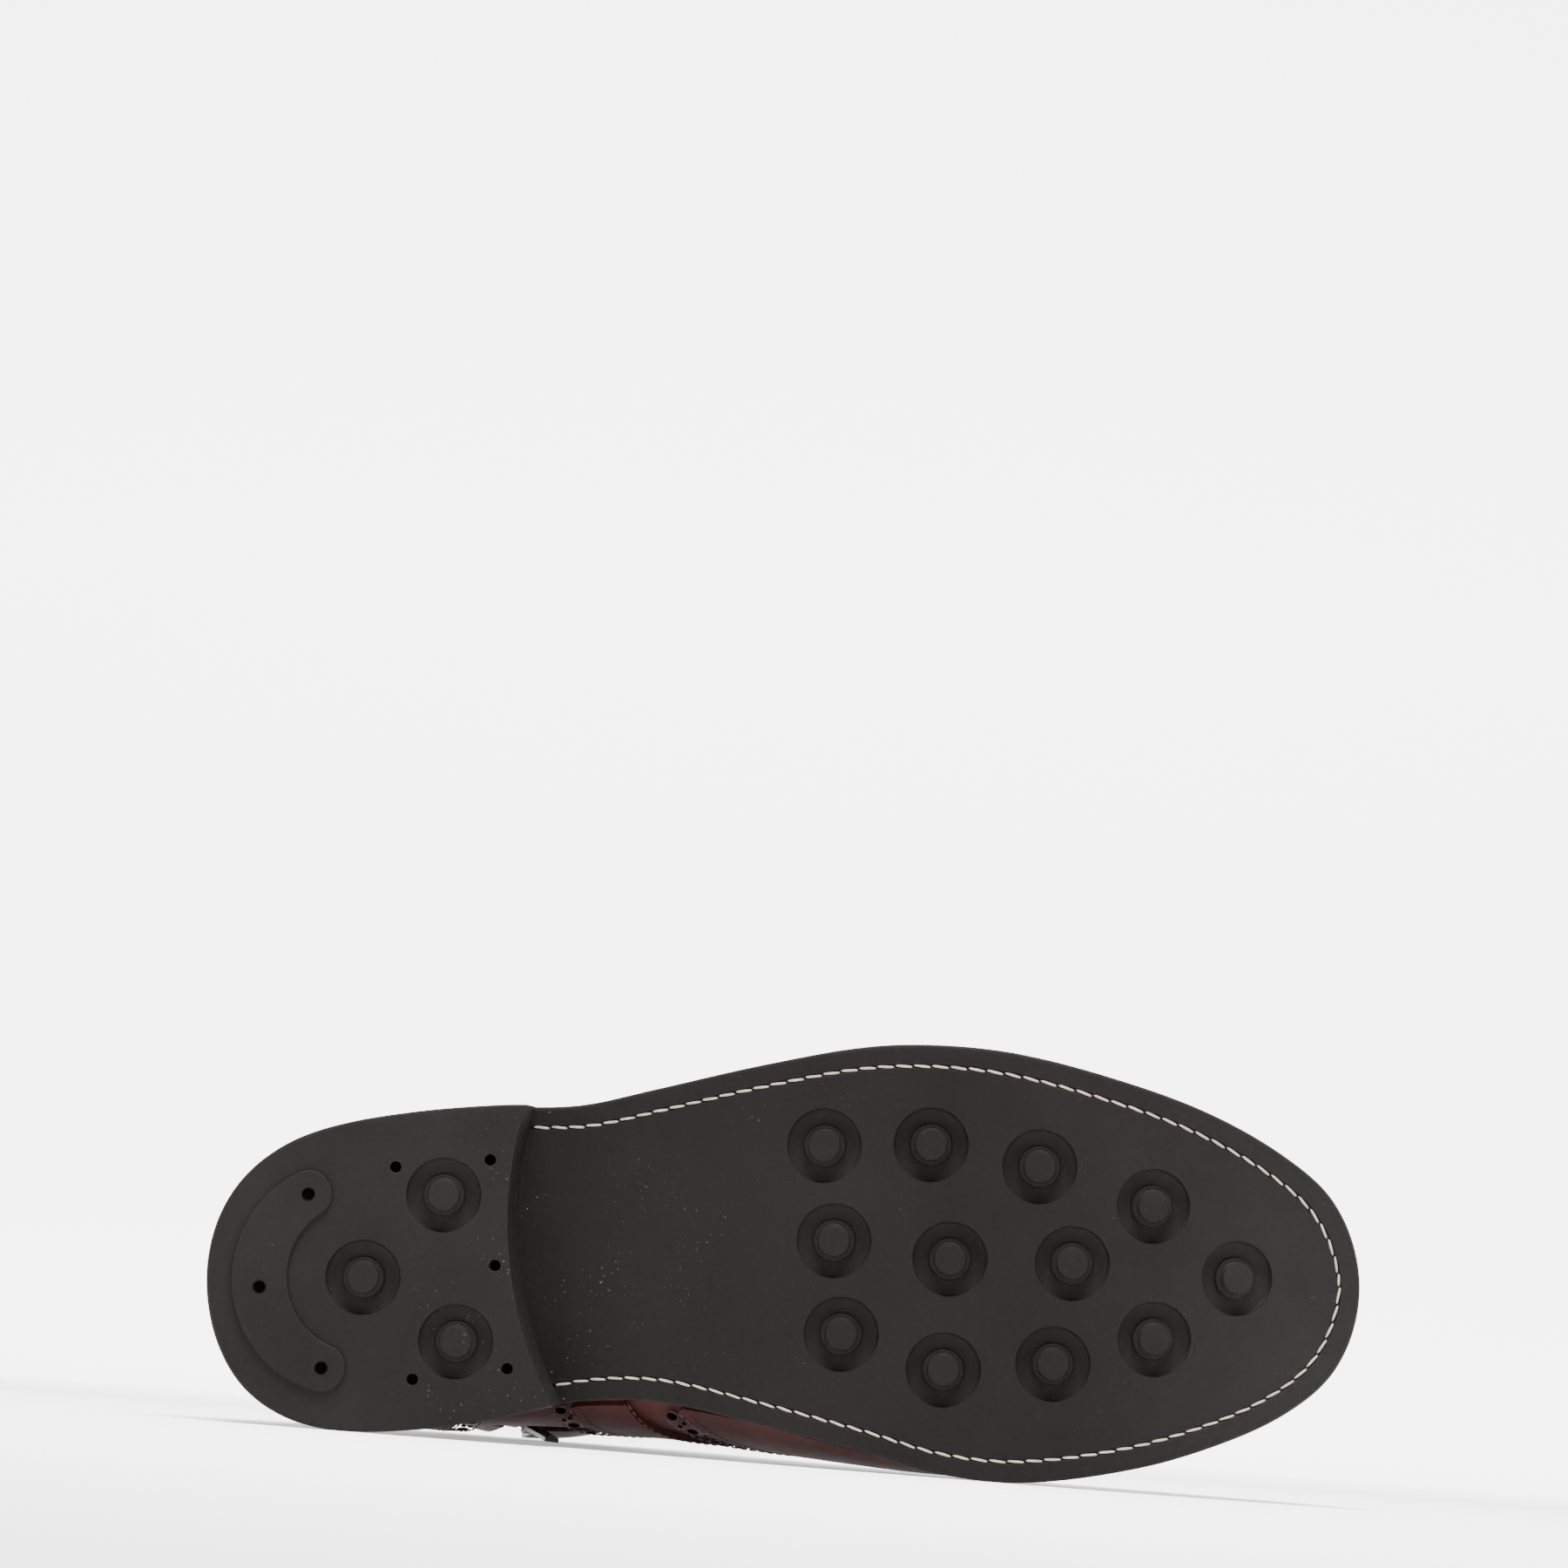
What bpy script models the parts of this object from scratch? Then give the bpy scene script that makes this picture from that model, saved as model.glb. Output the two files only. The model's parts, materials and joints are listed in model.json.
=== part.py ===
"""Brogue boot for the right foot, laid down on its inner side, in metres.

The boot is modelled standing: x runs from the heel's back to the toe, y to the
inner (medial) side and z up from the ground. An empty then lays it down on the
plane that its sole edge and shaft touch.
"""

import math
from collections import namedtuple

import bmesh
import bpy
from mathutils import Matrix, Vector

# Driving sizes
SOLE_LENGTH = 0.305
SOLE_WIDTH = 0.1148
COLLAR_HEIGHT = 0.152
HEEL_HEIGHT = 0.0225
HEEL_LENGTH = 0.079
OUTSOLE_THICKNESS = 0.006
TOE_SPRING = 0.019
WELT_THICKNESS = 0.003
INSOLE_THICKNESS = 0.0035
WALL = 0.0024
TONGUE_THICKNESS = 0.003
PANEL_THICKNESS = 0.001

# Clearances
FIT = 0.0003
SEAT_GAP = 0.0005
FOOT_GAP = 0.0009
PANEL_GAP = 0.0012
WELT_INSET = 0.0004
FLOOR_CLEARANCE = 0.0004

# Studs, their recesses and the heel's pins
STUD_PROUD = 0.001
RECESS_RADIUS = 0.0099
RECESS_DEPTH = 0.002
RECESS_RIM = 0.0006
STUD_BASE_RADIUS = 0.0055
STUD_TOP_RADIUS = 0.0042
STUD_STEP = 0.0008
STUD_SIDES = 12
PIN_RADIUS = 0.0015
PIN_DEPTH = 0.003
PIN_SIDES = 8

# Heel
BREAST_RADIUS = 0.104
BREAST_AXIS = -0.015
BREAST_SLANT = 0.0017
TIP_LOBE_RADIUS = 0.0063
TIP_MIDDLE = 0.0074

# Lacing and zip
THROAT_GAP = 0.0065
EYELET_PAIRS = 6
EYELET_RADIUS = 0.0029
EYELET_HOLE = 0.0017
EYELET_HEIGHT = 0.0009
EYELET_INSET = 0.0075
LACE_RADIUS = 0.0012
ZIP_HALF_SLOT = 0.0045
ZIP_TAPE_THICKNESS = 0.0008
TEETH_HALF_WIDTH = 0.0024
SLIDER_LENGTH = 0.0095
SLIDER_WIDTH = 0.0072
SLIDER_PLATE = 0.0012
BRIDGE_WIDTH = 0.0022
BRIDGE_OPENING = 0.0019
BRIDGE_BAR = 0.0009
PULL_LENGTH = 0.029
PULL_WIDTH = 0.0054
PULL_END_WIDTH = 0.0040
PULL_THICKNESS = 0.0011

# The balance point when lying, as shares of the sole's length and the collar's height
BALANCE_ALONG = 0.45
BALANCE_UP = 0.31

# How finely the curves are stepped
OUTLINE_STEPS = 36
HEEL_STEPS = 16
TIP_STEPS = 8
EYELET_SIDES = 8

# The outsole's outline: share of its length, outer and inner offset as shares of its width
Outline = namedtuple("Outline", "along outer inner")
OUTLINE = [
    Outline(0.0, 0.0, 0.0),
    Outline(0.0098, 0.1385, 0.1463),
    Outline(0.0325, 0.2352, 0.2474),
    Outline(0.0702, 0.3110, 0.3171),
    Outline(0.1157, 0.3537, 0.3458),
    Outline(0.1836, 0.3833, 0.3432),
    Outline(0.2518, 0.3972, 0.3171),
    Outline(0.3197, 0.4016, 0.2831),
    Outline(0.3879, 0.4382, 0.2831),
    Outline(0.4784, 0.4895, 0.3354),
    Outline(0.5692, 0.5305, 0.3972),
    Outline(0.6370, 0.5340, 0.4477),
    Outline(0.7052, 0.5122, 0.4643),
    Outline(0.7957, 0.4477, 0.4355),
    Outline(0.8639, 0.3815, 0.3876),
    Outline(0.9318, 0.2831, 0.3110),
    Outline(0.9774, 0.1751, 0.2091),
    Outline(1.0, -0.018, 0.018),
]

# The upper's rings from feather edge to above the collar. Lengths are shares of the sole's
# length and widths of its width. A rise is a share of the collar's height over the seat, added
# to the sole's top under that end. The widths are taken at the seat, waist, joint and tip of
# each ring. Bend says how far a ring follows the sole, and round how round its ends are.
Ring = namedtuple(
    "Ring",
    "back_x back_rise front_x front_rise bend round"
    " in_seat in_waist in_joint in_tip out_seat out_waist out_joint out_tip",
)
RINGS = [
    Ring(.0148, .008, .979, .008, 1.0, .80, .308, .262, .424, .318, .308, .375, .480, .305),
    Ring(.0140, .037, .980, .037, 1.0, .80, .308, .262, .424, .318, .308, .375, .480, .305),
    Ring(.0075, .109, .986, .089, .97, .80, .310, .325, .440, .331, .310, .378, .492, .318),
    Ring(.0065, .174, .979, .161, .90, .80, .304, .352, .436, .314, .304, .374, .483, .301),
    Ring(.0105, .239, .954, .247, .80, .82, .290, .358, .414, .272, .290, .362, .449, .263),
    Ring(.0180, .304, .908, .339, .68, .84, .275, .354, .388, .253, .275, .349, .410, .248),
    Ring(.0279, .368, .843, .416, .55, .86, .262, .346, .366, .253, .262, .335, .379, .253),
    Ring(.0377, .433, .757, .489, .42, .88, .248, .334, .344, .253, .248, .323, .348, .253),
    Ring(.0475, .506, .675, .567, .30, .90, .236, .328, .322, .244, .236, .314, .318, .235),
    Ring(.0574, .587, .603, .672, .20, .93, .224, .328, .318, .226, .224, .314, .305, .213),
    Ring(.0672, .692, .544, .802, .10, .96, .220, .340, .326, .215, .214, .320, .305, .197),
    Ring(.0754, .814, .497, .959, .04, .98, .222, .360, .346, .218, .210, .330, .315, .192),
    Ring(.0803, .984, .456, 1.174, .0, 1.0, .228, .378, .366, .228, .208, .336, .326, .194),
    Ring(.0810, 1.08, .444, 1.291, .0, 1.0, .228, .378, .366, .228, .208, .336, .326, .194),
]
STATIONS = (0.2, 0.42, 0.62, 0.8)
COLLAR_RING = 12.0
THROAT_RING = 9.0
ZIP_RING = 5.7
ZIP_X_SHARES = (0.335, 0.232)

# Places on the sole: along and across as shares of its length and width, inner side positive
Place = namedtuple("Place", "along across")
FORE_STUDS = [
    Place(0.5321, -0.3032),
    Place(0.5404, -0.0863),
    Place(0.5465, 0.1265),
    Place(0.6243, -0.3052),
    Place(0.6402, -0.0442),
    Place(0.6342, 0.2078),
    Place(0.7180, -0.2550),
    Place(0.7457, -0.0341),
    Place(0.7286, 0.1948),
    Place(0.8163, -0.1647),
    Place(0.8163, 0.1386),
    Place(0.8893, 0.0),
]
HEEL_STUDS = [Place(0.2041, -0.1908), Place(0.1350, -0.0028), Place(0.2151, 0.1436)]
HEEL_PINS = [
    Place(0.1625, -0.255),
    Place(0.2440, -0.271),
    Place(0.2485, -0.030),
    Place(0.1780, 0.229),
    Place(0.2593, 0.205),
]
TIP_PINS = [Place(0.0877, -0.193), Place(0.0461, 0.018), Place(0.0998, 0.2028)]


def eased(share):
    """A smooth step from 0 to 1."""
    share = min(max(share, 0.0), 1.0)
    return share * share * (3 - 2 * share)


def spread(low, high, count):
    """Evenly spaced values from low to high, with both."""
    return [low + (high - low) * i / count for i in range(count + 1)]


def curve_through(knots, values, at):
    """A smooth curve through unevenly spaced knots."""
    last = len(knots) - 1
    i = 0
    while i < last - 1 and at > knots[i + 1]:
        i += 1

    def slope(j):
        low = max(j - 1, 0)
        high = min(j + 1, last)
        return (values[high] - values[low]) / (knots[high] - knots[low])

    span = knots[i + 1] - knots[i]
    s = (at - knots[i]) / span
    if s < 0:
        return values[0]
    if s > 1:
        return values[last]
    start = values[i] * (1 + 2 * s) * (1 - s) ** 2 + slope(i) * span * s * (1 - s) ** 2
    end = values[i + 1] * (3 - 2 * s) * s * s - slope(i + 1) * span * (1 - s) * s * s
    return start + end


def share_at(phase):
    """The share of a chord at a phase from 0 at its back to 1 at its front."""
    return (1 - math.cos(math.pi * phase)) / 2


def phase_at(share):
    return math.acos(1 - 2 * min(max(share, 0.0), 1.0)) / math.pi


OUTLINE_PHASES = [phase_at(row.along) for row in OUTLINE]


def outline_point(phase, inner, inset=0.0):
    """A point on the outsole's edge, as (x, y), taken in by an inset."""
    column = [row.inner if inner else row.outer for row in OUTLINE]
    reach = curve_through(OUTLINE_PHASES, column, phase) * SOLE_WIDTH
    x = SOLE_LENGTH * share_at(phase)
    x = inset + x * (SOLE_LENGTH - 2 * inset) / SOLE_LENGTH
    reach -= inset * math.sin(math.pi * phase) ** 0.4
    return x, reach if inner else -reach


def underside(x):
    """Height of the outsole's underside over the ground."""
    waist_end = 0.545 * SOLE_LENGTH
    fall = eased((x - HEEL_LENGTH) / (waist_end - HEEL_LENGTH))
    toe_start = 0.735 * SOLE_LENGTH
    toe = max(x - toe_start, 0.0) / (SOLE_LENGTH - toe_start)
    return STUD_PROUD + (HEEL_HEIGHT - STUD_PROUD) * (1 - fall) + TOE_SPRING * toe * toe


def topside(x):
    return underside(x) + OUTSOLE_THICKNESS


def ring_at(level):
    """The ring at a level between the table's rows."""
    knots = list(range(len(RINGS)))
    return Ring(*(curve_through(knots, column, level) for column in zip(*RINGS)))


def ring_ends(ring):
    return ring.back_x * SOLE_LENGTH, ring.front_x * SOLE_LENGTH


def leather_point(level, around):
    """A point on the upper's outer face. Around is 0 at the back, 1 at the front by the inner
    side and -1 at the front by the outer side, and 2 brings it round again."""
    around = (around + 1) % 2 - 1
    inner = around >= 0
    phase = abs(around)
    ring = ring_at(level)
    back, front = ring_ends(ring)
    share = share_at(phase)
    x = back + (front - back) * share
    side = ring[6:10] if inner else ring[10:14]
    fullness = [
        width / math.sin(math.pi * station) ** ring.round
        for width, station in zip(side, STATIONS)
    ]
    reach = SOLE_WIDTH * curve_through(STATIONS, fullness, phase)
    reach *= math.sin(math.pi * phase) ** ring.round
    rise = ring.back_rise + (ring.front_rise - ring.back_rise) * share
    chord = topside(back) + (topside(front) - topside(back)) * share
    z = rise * (COLLAR_HEIGHT - topside(0)) + chord + ring.bend * (topside(x) - chord)
    inflare = 0.018 * SOLE_WIDTH * share ** 6 * ring.bend
    return Vector((x, inflare + (reach if inner else -reach), z))


def leather_normal(level, around):
    step = 0.02
    across = leather_point(level, around + step) - leather_point(level, around - step)
    low = max(level - step, 0.0)
    rise = leather_point(min(level + step, 13.0), around) - leather_point(low, around)
    return rise.cross(across).normalized()


def leather(level, around, out=0.0):
    """A point over (out above 0) or inside (below 0) the upper's outer face."""
    place = leather_point(level, around)
    return place + leather_normal(level, around) * out if out else place


def phase_at_x(level, x):
    back, front = ring_ends(ring_at(level))
    return phase_at((x - back) / (front - back))


def zip_x(level):
    """The zip's middle line, which slants back as it rises."""
    low, high = (share * SOLE_LENGTH for share in ZIP_X_SHARES)
    return low + (high - low) * (level - ZIP_RING) / (COLLAR_RING - ZIP_RING)


def throat_phase(level, gap=THROAT_GAP):
    """The phase at which a ring is this far from its middle line."""
    low, high = 0.62, 1.0
    for _ in range(24):
        middle = (low + high) / 2
        if leather_point(level, middle).y > gap:
            low = middle
        else:
            high = middle
    return (low + high) / 2


def material(name, colour, roughness, metallic=0.0):
    made = bpy.data.materials.new(name)
    made.use_nodes = True
    shader = made.node_tree.nodes["Principled BSDF"]
    shader.inputs["Base Color"].default_value = (*colour, 1.0)
    shader.inputs["Roughness"].default_value = roughness
    shader.inputs["Metallic"].default_value = metallic
    made.diffuse_color = (*colour, 1.0)
    return made


for old in list(bpy.data.objects):
    bpy.data.objects.remove(old)
PARTS = bpy.data.collections.new("brogue_boot")
CUTTERS = bpy.data.collections.new("cutters")
bpy.context.scene.collection.children.link(PARTS)
bpy.context.scene.collection.children.link(CUTTERS)
LAID = bpy.data.objects.new("laid_down", None)
PARTS.objects.link(LAID)

RUBBER = material("rubber", (0.042, 0.036, 0.034), 0.62)
LEATHER = material("leather", (0.135, 0.026, 0.024), 0.34)
DARK_LEATHER = material("dark_leather", (0.075, 0.016, 0.016), 0.36)
LINING = material("lining", (0.30, 0.20, 0.12), 0.7)
CORD = material("cord", (0.05, 0.02, 0.018), 0.75)
BRASS = material("old_brass", (0.25, 0.17, 0.08), 0.35, 1.0)
BLACK_METAL = material("black_metal", (0.03, 0.03, 0.032), 0.35, 0.9)
TAPE = material("tape", (0.03, 0.022, 0.02), 0.8)


def add(name, bm, finish, cutter=False, closed=True):
    """Turns a bmesh into a named object with its own material."""
    bmesh.ops.remove_doubles(bm, verts=bm.verts, dist=1e-6)
    if closed:
        bmesh.ops.recalc_face_normals(bm, faces=bm.faces)
    mesh = bpy.data.meshes.new(name)
    bm.to_mesh(mesh)
    bm.free()
    made = bpy.data.objects.new(name, mesh)
    if cutter:
        CUTTERS.objects.link(made)
        made.hide_render = True
        made.display_type = "WIRE"
    else:
        PARTS.objects.link(made)
        mesh.materials.append(finish)
        mesh.shade_smooth()
        mesh.set_sharp_from_angle(angle=math.radians(35))
    made.parent = LAID
    return made


def boolean(target, tool, operation):
    change = target.modifiers.new(tool.name, "BOOLEAN")
    change.operation = operation
    change.solver = "EXACT"
    change.object = tool


def ladder(bm, lower, upper):
    """Closes a slab between two lower and two upper rails that have one point a rung each."""
    rails = [[bm.verts.new(point) for point in rail] for rail in (*lower, *upper)]
    loop = (rails[0], rails[1], rails[3], rails[2])
    for j in range(4):
        near, far = loop[j], loop[(j + 1) % 4]
        for i in range(len(near) - 1):
            bm.faces.new((near[i], near[i + 1], far[i + 1], far[i]))
    for end in (0, -1):
        if (loop[0][end].co - loop[1][end].co).length > FIT:
            bm.faces.new([rail[end] for rail in loop])


def turned(bm, profile, sides, place):
    """Adds a turned body from a profile of (radius, height) that starts and ends on its axis."""
    rings = []
    for radius, height in profile:
        count = sides if radius > 0 else 1
        ring = []
        for i in range(count):
            angle = 2 * math.pi * i / sides
            point = Vector((radius * math.cos(angle), radius * math.sin(angle), height))
            ring.append(bm.verts.new(place @ point))
        rings.append(ring)
    for low, high in zip(rings, rings[1:]):
        for i in range(sides):
            corners = [low[i % len(low)], low[(i + 1) % len(low)]]
            corners += [high[(i + 1) % len(high)], high[i % len(high)]]
            bm.faces.new(list(dict.fromkeys(corners)))


def on_sole(place):
    """A frame on the outsole's underside with its z axis pointing out of the sole."""
    x = place.along * SOLE_LENGTH
    step = 0.001
    slope = (underside(x + step) - underside(x - step)) / (2 * step)
    turn = Matrix.Rotation(math.pi + math.atan(-slope), 4, "Y")
    return Matrix.Translation((x, place.across * SOLE_WIDTH, underside(x))) @ turn


def on_heel(place):
    spot = (place.along * SOLE_LENGTH, place.across * SOLE_WIDTH, STUD_PROUD)
    return Matrix.Translation(spot) @ Matrix.Rotation(math.pi, 4, "Y")


RECESS = [
    (0.0, STUD_PROUD),
    (RECESS_RADIUS, STUD_PROUD),
    (RECESS_RADIUS, -RECESS_RIM),
    (STUD_BASE_RADIUS - FIT, -RECESS_DEPTH),
    (0.0, -RECESS_DEPTH),
]
STUD = [
    (0.0, STUD_PROUD),
    (STUD_TOP_RADIUS, STUD_PROUD),
    (STUD_TOP_RADIUS, -STUD_STEP),
    (STUD_BASE_RADIUS, -STUD_STEP),
    (STUD_BASE_RADIUS, -RECESS_DEPTH - STUD_STEP),
    (0.0, -RECESS_DEPTH - STUD_STEP),
]


def stud_field(target, places, frame):
    """Sinks the round recesses into a sole piece and stands the stepped studs in them."""
    for suffix, profile, operation in (
        ("_recesses", RECESS, "DIFFERENCE"),
        ("_studs", STUD, "UNION"),
    ):
        bm = bmesh.new()
        for place in places:
            turned(bm, profile, STUD_SIDES, frame(place))
        boolean(target, add(target.name + suffix, bm, None, cutter=True), operation)


def make_outsole():
    bm = bmesh.new()
    edges = []
    for surface in (underside, topside):
        for inner in (False, True):
            rail = [outline_point(i / OUTLINE_STEPS, inner) for i in range(OUTLINE_STEPS + 1)]
            edges.append([(x, y, surface(x)) for x, y in rail])
    ladder(bm, edges[0:2], edges[2:4])
    outsole = add("outsole", bm, RUBBER)
    stud_field(outsole, FORE_STUDS, on_sole)
    return outsole


def breast_cutter():
    """The tapered round tool that hollows the heel's breast."""
    bm = bmesh.new()
    height = 2 * HEEL_HEIGHT
    slant = BREAST_SLANT / HEEL_HEIGHT
    low = BREAST_RADIUS + slant * HEEL_HEIGHT / 2
    high = BREAST_RADIUS - slant * 3 * HEEL_HEIGHT / 2
    middle = Matrix.Translation(
        (HEEL_LENGTH + BREAST_RADIUS, BREAST_AXIS, HEEL_HEIGHT / 2)
    )
    bmesh.ops.create_cone(
        bm, cap_ends=True, segments=96, radius1=low, radius2=high, depth=height, matrix=middle
    )
    return add("breast_cutter", bm, None, cutter=True)


def pin_holes(target, places):
    bm = bmesh.new()
    for place in places:
        frame = on_heel(place)
        profile = [(0.0, 2 * STUD_PROUD), (PIN_RADIUS, 2 * STUD_PROUD)]
        profile += [(PIN_RADIUS, -PIN_DEPTH), (0.0, -PIN_DEPTH)]
        turned(bm, profile, PIN_SIDES, frame)
    boolean(target, add(target.name + "_pins", bm, None, cutter=True), "DIFFERENCE")


def make_heel():
    bm = bmesh.new()
    edges = []
    reach = phase_at(1.25 * HEEL_LENGTH / SOLE_LENGTH)
    for top in (False, True):
        for inner in (False, True):
            rail = [outline_point(reach * i / HEEL_STEPS, inner) for i in range(HEEL_STEPS + 1)]
            edges.append([(x, y, underside(x) - FIT if top else STUD_PROUD) for x, y in rail])
    ladder(bm, edges[0:2], edges[2:4])
    heel = add("heel", bm, RUBBER)
    boolean(heel, breast_cutter(), "DIFFERENCE")
    stud_field(heel, HEEL_STUDS, on_heel)
    pin_holes(heel, HEEL_PINS)
    return heel


def circle_through(a, b, c):
    """The centre of the circle through three points."""
    ab, ac = b - a, c - a
    turn = 2 * (ab.x * ac.y - ab.y * ac.x)
    x = (ac.y * ab.length_squared - ab.y * ac.length_squared) / turn
    y = (ab.x * ac.length_squared - ac.x * ab.length_squared) / turn
    return a + Vector((x, y))


def make_heel_tip():
    """The crescent at the heel's rear: a band round its three pins, with round ends."""
    pins = [Vector((pin.along * SOLE_LENGTH, pin.across * SOLE_WIDTH)) for pin in TIP_PINS]
    centre = circle_through(*pins)
    radius = (pins[0] - centre).length
    ends = [(pin - centre) for pin in (pins[0], pins[2])]
    start = math.atan2(-ends[0].y, -ends[0].x)
    stop = math.atan2(-ends[1].y, -ends[1].x)
    outer, inner = [], []
    for i in range(TIP_STEPS + 1):
        share = i / TIP_STEPS
        angle = start + (stop - start) * share
        half = TIP_LOBE_RADIUS + (TIP_MIDDLE - TIP_LOBE_RADIUS) * math.sin(math.pi * share)
        ray = Vector((-math.cos(angle), -math.sin(angle)))
        outer.append(centre + (radius + half) * ray)
        inner.append(centre + (radius - half) * ray)

    def lobe(pin, first):
        """The round end from this first point, by the side away from the band."""
        spoke = first - pin
        turns = [math.copysign(math.pi, stop - start) * i / 7 for i in range(1, 7)]
        return [pin + Matrix.Rotation(turn, 2) @ spoke for turn in turns]

    loop = outer + lobe(pins[2], outer[-1]) + inner[::-1] + lobe(pins[0], inner[0])
    bm = bmesh.new()
    face = bm.faces.new([bm.verts.new((point.x, point.y, 0.0)) for point in loop])
    lift = bmesh.ops.extrude_face_region(bm, geom=[face])
    raised = [item for item in lift["geom"] if isinstance(item, bmesh.types.BMVert)]
    bmesh.ops.translate(bm, verts=raised, vec=(0, 0, STUD_PROUD - FIT))
    tip = add("heel_tip", bm, RUBBER)
    pin_holes(tip, TIP_PINS)
    return tip


def column_phases(level):
    """Where the upper's columns lie on a ring, from the back to the front of one side: evenly
    spread at the foot, and kept to the zip's slot and the throat higher up."""
    slot = zip_x(min(max(level, ZIP_RING), COLLAR_RING))
    marks = [0.0, phase_at_x(level, slot - ZIP_HALF_SLOT), phase_at_x(level, slot + ZIP_HALF_SLOT)]
    marks += [throat_phase(level), 1.0]
    kept = []
    for low, high, count in zip(marks, marks[1:], COLUMN_COUNTS):
        kept += spread(low, high, count)[:-1]
    kept.append(1.0)
    even = spread(0.0, 1.0, len(kept) - 1)
    share = eased(level / ZIP_RING)
    return [a + (b - a) * share for a, b in zip(even, kept)]


COLUMN_COUNTS = (7, 1, 11, 2)
ZIP_COLUMN = COLUMN_COUNTS[0]
THROAT_COLUMN = sum(COLUMN_COUNTS[:3])
UPPER_LEVELS = (
    0.0, 1.0, 1.8, 2.6, 3.4, 4.2, 4.8, 5.25, ZIP_RING, 6.15, 6.6, 7.1, 7.7, 8.3, THROAT_RING,
    9.7, 10.5, 11.3, COLLAR_RING,
)


def thicken(made, thickness, outward):
    shell = made.modifiers.new("wall", "SOLIDIFY")
    shell.thickness = thickness
    shell.offset = 1.0 if outward else -1.0
    shell.use_even_offset = True
    shell.use_quality_normals = True


def add_sheet(name, bm, finish, thickness, outward):
    """An open sheet whose normals point out of the boot, made a wall."""
    made = add(name, bm, finish, closed=False)
    thicken(made, thickness, outward)
    return made


def make_upper():
    bm = bmesh.new()
    rows = []
    for level in UPPER_LEVELS:
        side = column_phases(level)
        loop = side + [-phase for phase in reversed(side[1:-1])]
        row = []
        for around in loop:
            row.append(bm.verts.new(leather(level, around)))
        rows.append(row)
    count = len(rows[0])
    for j, level in enumerate(UPPER_LEVELS[:-1]):
        for i in range(count):
            in_throat = THROAT_COLUMN <= i < count - THROAT_COLUMN
            if level >= THROAT_RING and in_throat:
                continue
            if level >= ZIP_RING and i == ZIP_COLUMN:
                continue
            k = (i + 1) % count
            bm.faces.new((rows[j][i], rows[j + 1][i], rows[j + 1][k], rows[j][k]))
    return add_sheet("upper", bm, LEATHER, WALL, False)


def strip(name, ends, count, thickness=PANEL_THICKNESS, out=PANEL_GAP, outward=True,
          finish=LEATHER):
    """A piece over the upper's own form, with rows between pairs of (level, around) ends."""
    bm = bmesh.new()
    rows = []
    for start, stop in ends:
        low, high = sorted((start, stop), key=lambda end: end[1])
        row = []
        for i in range(count + 1):
            level, around = (a + (b - a) * i / count for a, b in zip(low, high))
            row.append(bm.verts.new(leather(level, around, out)))
        rows.append(row)
    for low, high in zip(rows, rows[1:]):
        for i in range(count):
            bm.faces.new((low[i], high[i], high[i + 1], low[i + 1]))
    return add_sheet(name, bm, finish, thickness, outward)


def panel(name, levels, start, stop, count, **options):
    """A piece with level rows, from start to stop round each."""
    ends = [((level, start(level)), (level, stop(level))) for level in levels]
    return strip(name, ends, count, **options)


# A facing's edges: shares of the length, one a ring up to its turn over the instep, whose
# rows have a ring and a phase at each end
FACING_BACK = (0.305, 0.31, 0.325, 0.345, 0.372, 0.40, 0.427, 0.453)
FACING_FRONT = (0.345, 0.35, 0.368, 0.392, 0.425, 0.462, 0.50, 0.535)
Turn = namedtuple("Turn", "back_level back front_level front")
FACING_TURN = [
    Turn(7.1, 0.556, 7.1, 0.633),
    Turn(7.5, 0.585, 7.6, 0.695),
    Turn(7.9, 0.620, 8.05, 0.765),
    Turn(8.3, 0.665, 8.4, 0.835),
    Turn(8.65, 0.712, 8.7, 0.90),
    Turn(9.0, 0.765, 8.95, 0.95),
]
FACING_STRAIGHT = 9.4
FACING_WIDTH = 2.1 * EYELET_INSET

LOWEST_PANEL = 1.4
WING_PEAK = 7.1
COUNTER_TOP = 6.9
BAND_FOOT = 10.75
BAND_TOP = 11.97
SLIDER_RING = 10.25
TONGUE_FOOT = 8.3
TONGUE_TOP = 12.7
FIRST_EYELET = 9.35
FOOT_LEVEL = 0.0
LAST_EYELET = 11.6


def feather_point(phase, inner, inset):
    """A point in plan on the upper's foot, as (x, y), taken in by an inset."""
    side = 1 if inner else -1
    back, front = ring_ends(ring_at(FOOT_LEVEL))
    place = leather_point(FOOT_LEVEL, side * phase)
    x = back + inset + (place.x - back) * (front - back - 2 * inset) / (front - back)
    return x, place.y - side * inset * math.sin(math.pi * phase) ** 0.4


def make_insole():
    phases = spread(0.0, 1.0, OUTLINE_STEPS)[2:-2]
    rails = []
    for height in (FOOT_GAP, FOOT_GAP + INSOLE_THICKNESS):
        for inner in (False, True):
            rail = [feather_point(phase, inner, WALL + 2 * SEAT_GAP) for phase in phases]
            rails.append([(x, y, topside(x) + height) for x, y in rail])
    bm = bmesh.new()
    ladder(bm, rails[0:2], rails[2:4])
    add("insole", bm, LINING)


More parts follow.
